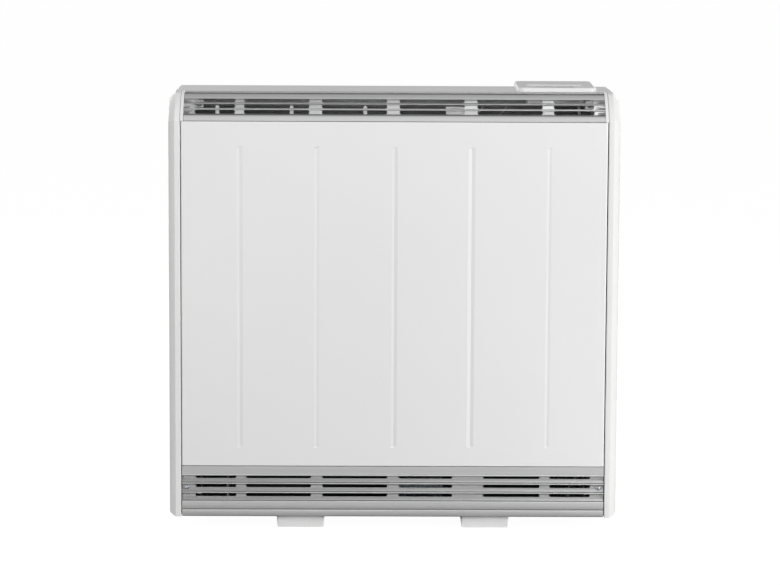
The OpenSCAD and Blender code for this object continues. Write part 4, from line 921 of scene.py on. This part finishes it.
def fitBackScrews():
    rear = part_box("back_panel")[1].y
    places = [(side * screwHead["backOut"], rear, z) for side in (-1, 1) for z in screwHead["backHeights"]]
    screwsOf("backPanelScrews", places, (0, 1, 0), screwHead["panelRadius"], screwHead["panelHeight"])


fitGrilleScrews()
fitBracketScrews()
fitFootScrews()
fitBackScrews()
print("screws fitted")


# printed signs on the five buttons, each an outline in units of size
buttonSigns = {
    "size": 0.0026,
    "thickness": 0.00006,
    "outlines": {
        "back": [(-1.0, 0.0), (-0.1, 0.75), (-0.1, 0.25), (0.9, 0.25), (0.9, -0.25), (-0.1, -0.25),
                 (-0.1, -0.75)],
        "down": [(0.0, -0.75), (0.95, 0.65), (-0.95, 0.65)],
        "up": [(0.0, 0.75), (-0.95, -0.65), (0.95, -0.65)],
        "select": [(-0.95, 0.05), (-0.62, 0.36), (-0.25, -0.05), (0.68, 0.86), (0.98, 0.55),
                   (-0.25, -0.68)],
        "boost": [(-0.2, 0.2), (-0.85, 0.2), (-0.85, -0.2), (-0.2, -0.2), (-0.2, -0.85), (0.2, -0.85),
                  (0.2, -0.2), (0.85, -0.2), (0.85, 0.2), (0.2, 0.2), (0.2, 0.85), (-0.2, 0.85)],
    },
}


def printSign(sign, outline):
    low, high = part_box("button_" + sign)
    middle = (low + high) / 2
    size = buttonSigns["size"]
    bm = bmesh.new()
    face = bm.faces.new([bm.verts.new((middle.x + x * size, middle.y + y * size, high.z))
                         for x, y in outline])
    top = bmesh.ops.extrude_face_region(bm, geom=[face])["geom"]
    lifted = [part for part in top if isinstance(part, bmesh.types.BMVert)]
    bmesh.ops.translate(bm, verts=lifted, vec=(0, 0, buttonSigns["thickness"]))
    bmesh.ops.recalc_face_normals(bm, faces=bm.faces)
    pieceFrom(sign + "Sign", bm, finishes["ink"], body="button_" + sign + "_body",
              smoothBelow=20)


for sign, outline in buttonSigns["outlines"].items():
    printSign(sign, outline)
print("buttons marked")


# unlit display under the window
displayFace = {"width": 0.0540, "depth": 0.0240, "low": 0.69695, "high": 0.69760, "edge": 0.0002}


def fitDisplay():
    low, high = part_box("display_lens")
    middle = (low + high) / 2
    bm = bmesh.new()
    bmesh.ops.create_cube(bm, size=1)
    for corner in bm.verts:
        corner.co = (middle.x + corner.co.x * displayFace["width"],
                     middle.y + corner.co.y * displayFace["depth"],
                     displayFace["high"] if corner.co.z > 0 else displayFace["low"])
    bmesh.ops.bevel(bm, geom=bm.edges[:], offset=displayFace["edge"], segments=2, affect="EDGES")
    pieceFrom("displayFace", bm, finishes["dots"], smoothBelow=50)


fitDisplay()
print("display fitted")


# thin probe wires, fixed at the thermal cut-out and at the tub of the console
probeWires = {
    "radii": {"probeWireFront": 0.0006, "probeWireRear": 0.0004},
    "roundness": 3, "steps": 6,
    "routes": {
        "probeWireFront": [(0.0995, -0.0520, 0.6312), (0.1010, -0.0520, 0.6400), (0.1200, -0.0480, 0.6520),
                           (0.1385, -0.0440, 0.6640), (0.1400, -0.0440, 0.6740), (0.1425, -0.0440, 0.6830),
                           (0.1530, -0.0420, 0.6878), (0.1780, -0.0360, 0.6885), (0.1920, -0.0300, 0.6882),
                           (0.1965, -0.0290, 0.6880)],
        "probeWireRear": [(0.0900, -0.0480, 0.6312), (0.0910, -0.0470, 0.6380), (0.1200, -0.0400, 0.6440),
                          (0.1600, -0.0360, 0.6520), (0.1765, -0.0350, 0.6640), (0.1785, -0.0350, 0.6760),
                          (0.1820, -0.0330, 0.6840), (0.1890, -0.0260, 0.6862), (0.1965, -0.0235, 0.6860)],
    },
}


def layWire(name, route):
    curve = bpy.data.curves.new(name, "CURVE")
    curve.dimensions = "3D"
    curve.bevel_depth = probeWires["radii"][name]
    curve.bevel_resolution = probeWires["roundness"]
    curve.resolution_u = probeWires["steps"]
    curve.use_fill_caps = True
    line = curve.splines.new("NURBS")
    line.points.add(len(route) - 1)
    for point, place in zip(line.points, route):
        point.co = (*place, 1)
    line.order_u = 4
    line.use_endpoint_u = True
    curve.materials.append(finishes["leadSleeve"])
    piece = link(bpy.data.objects.new(name, curve))
    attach(piece, "casing")


for name, route in probeWires["routes"].items():
    layWire(name, route)
print("wires laid")
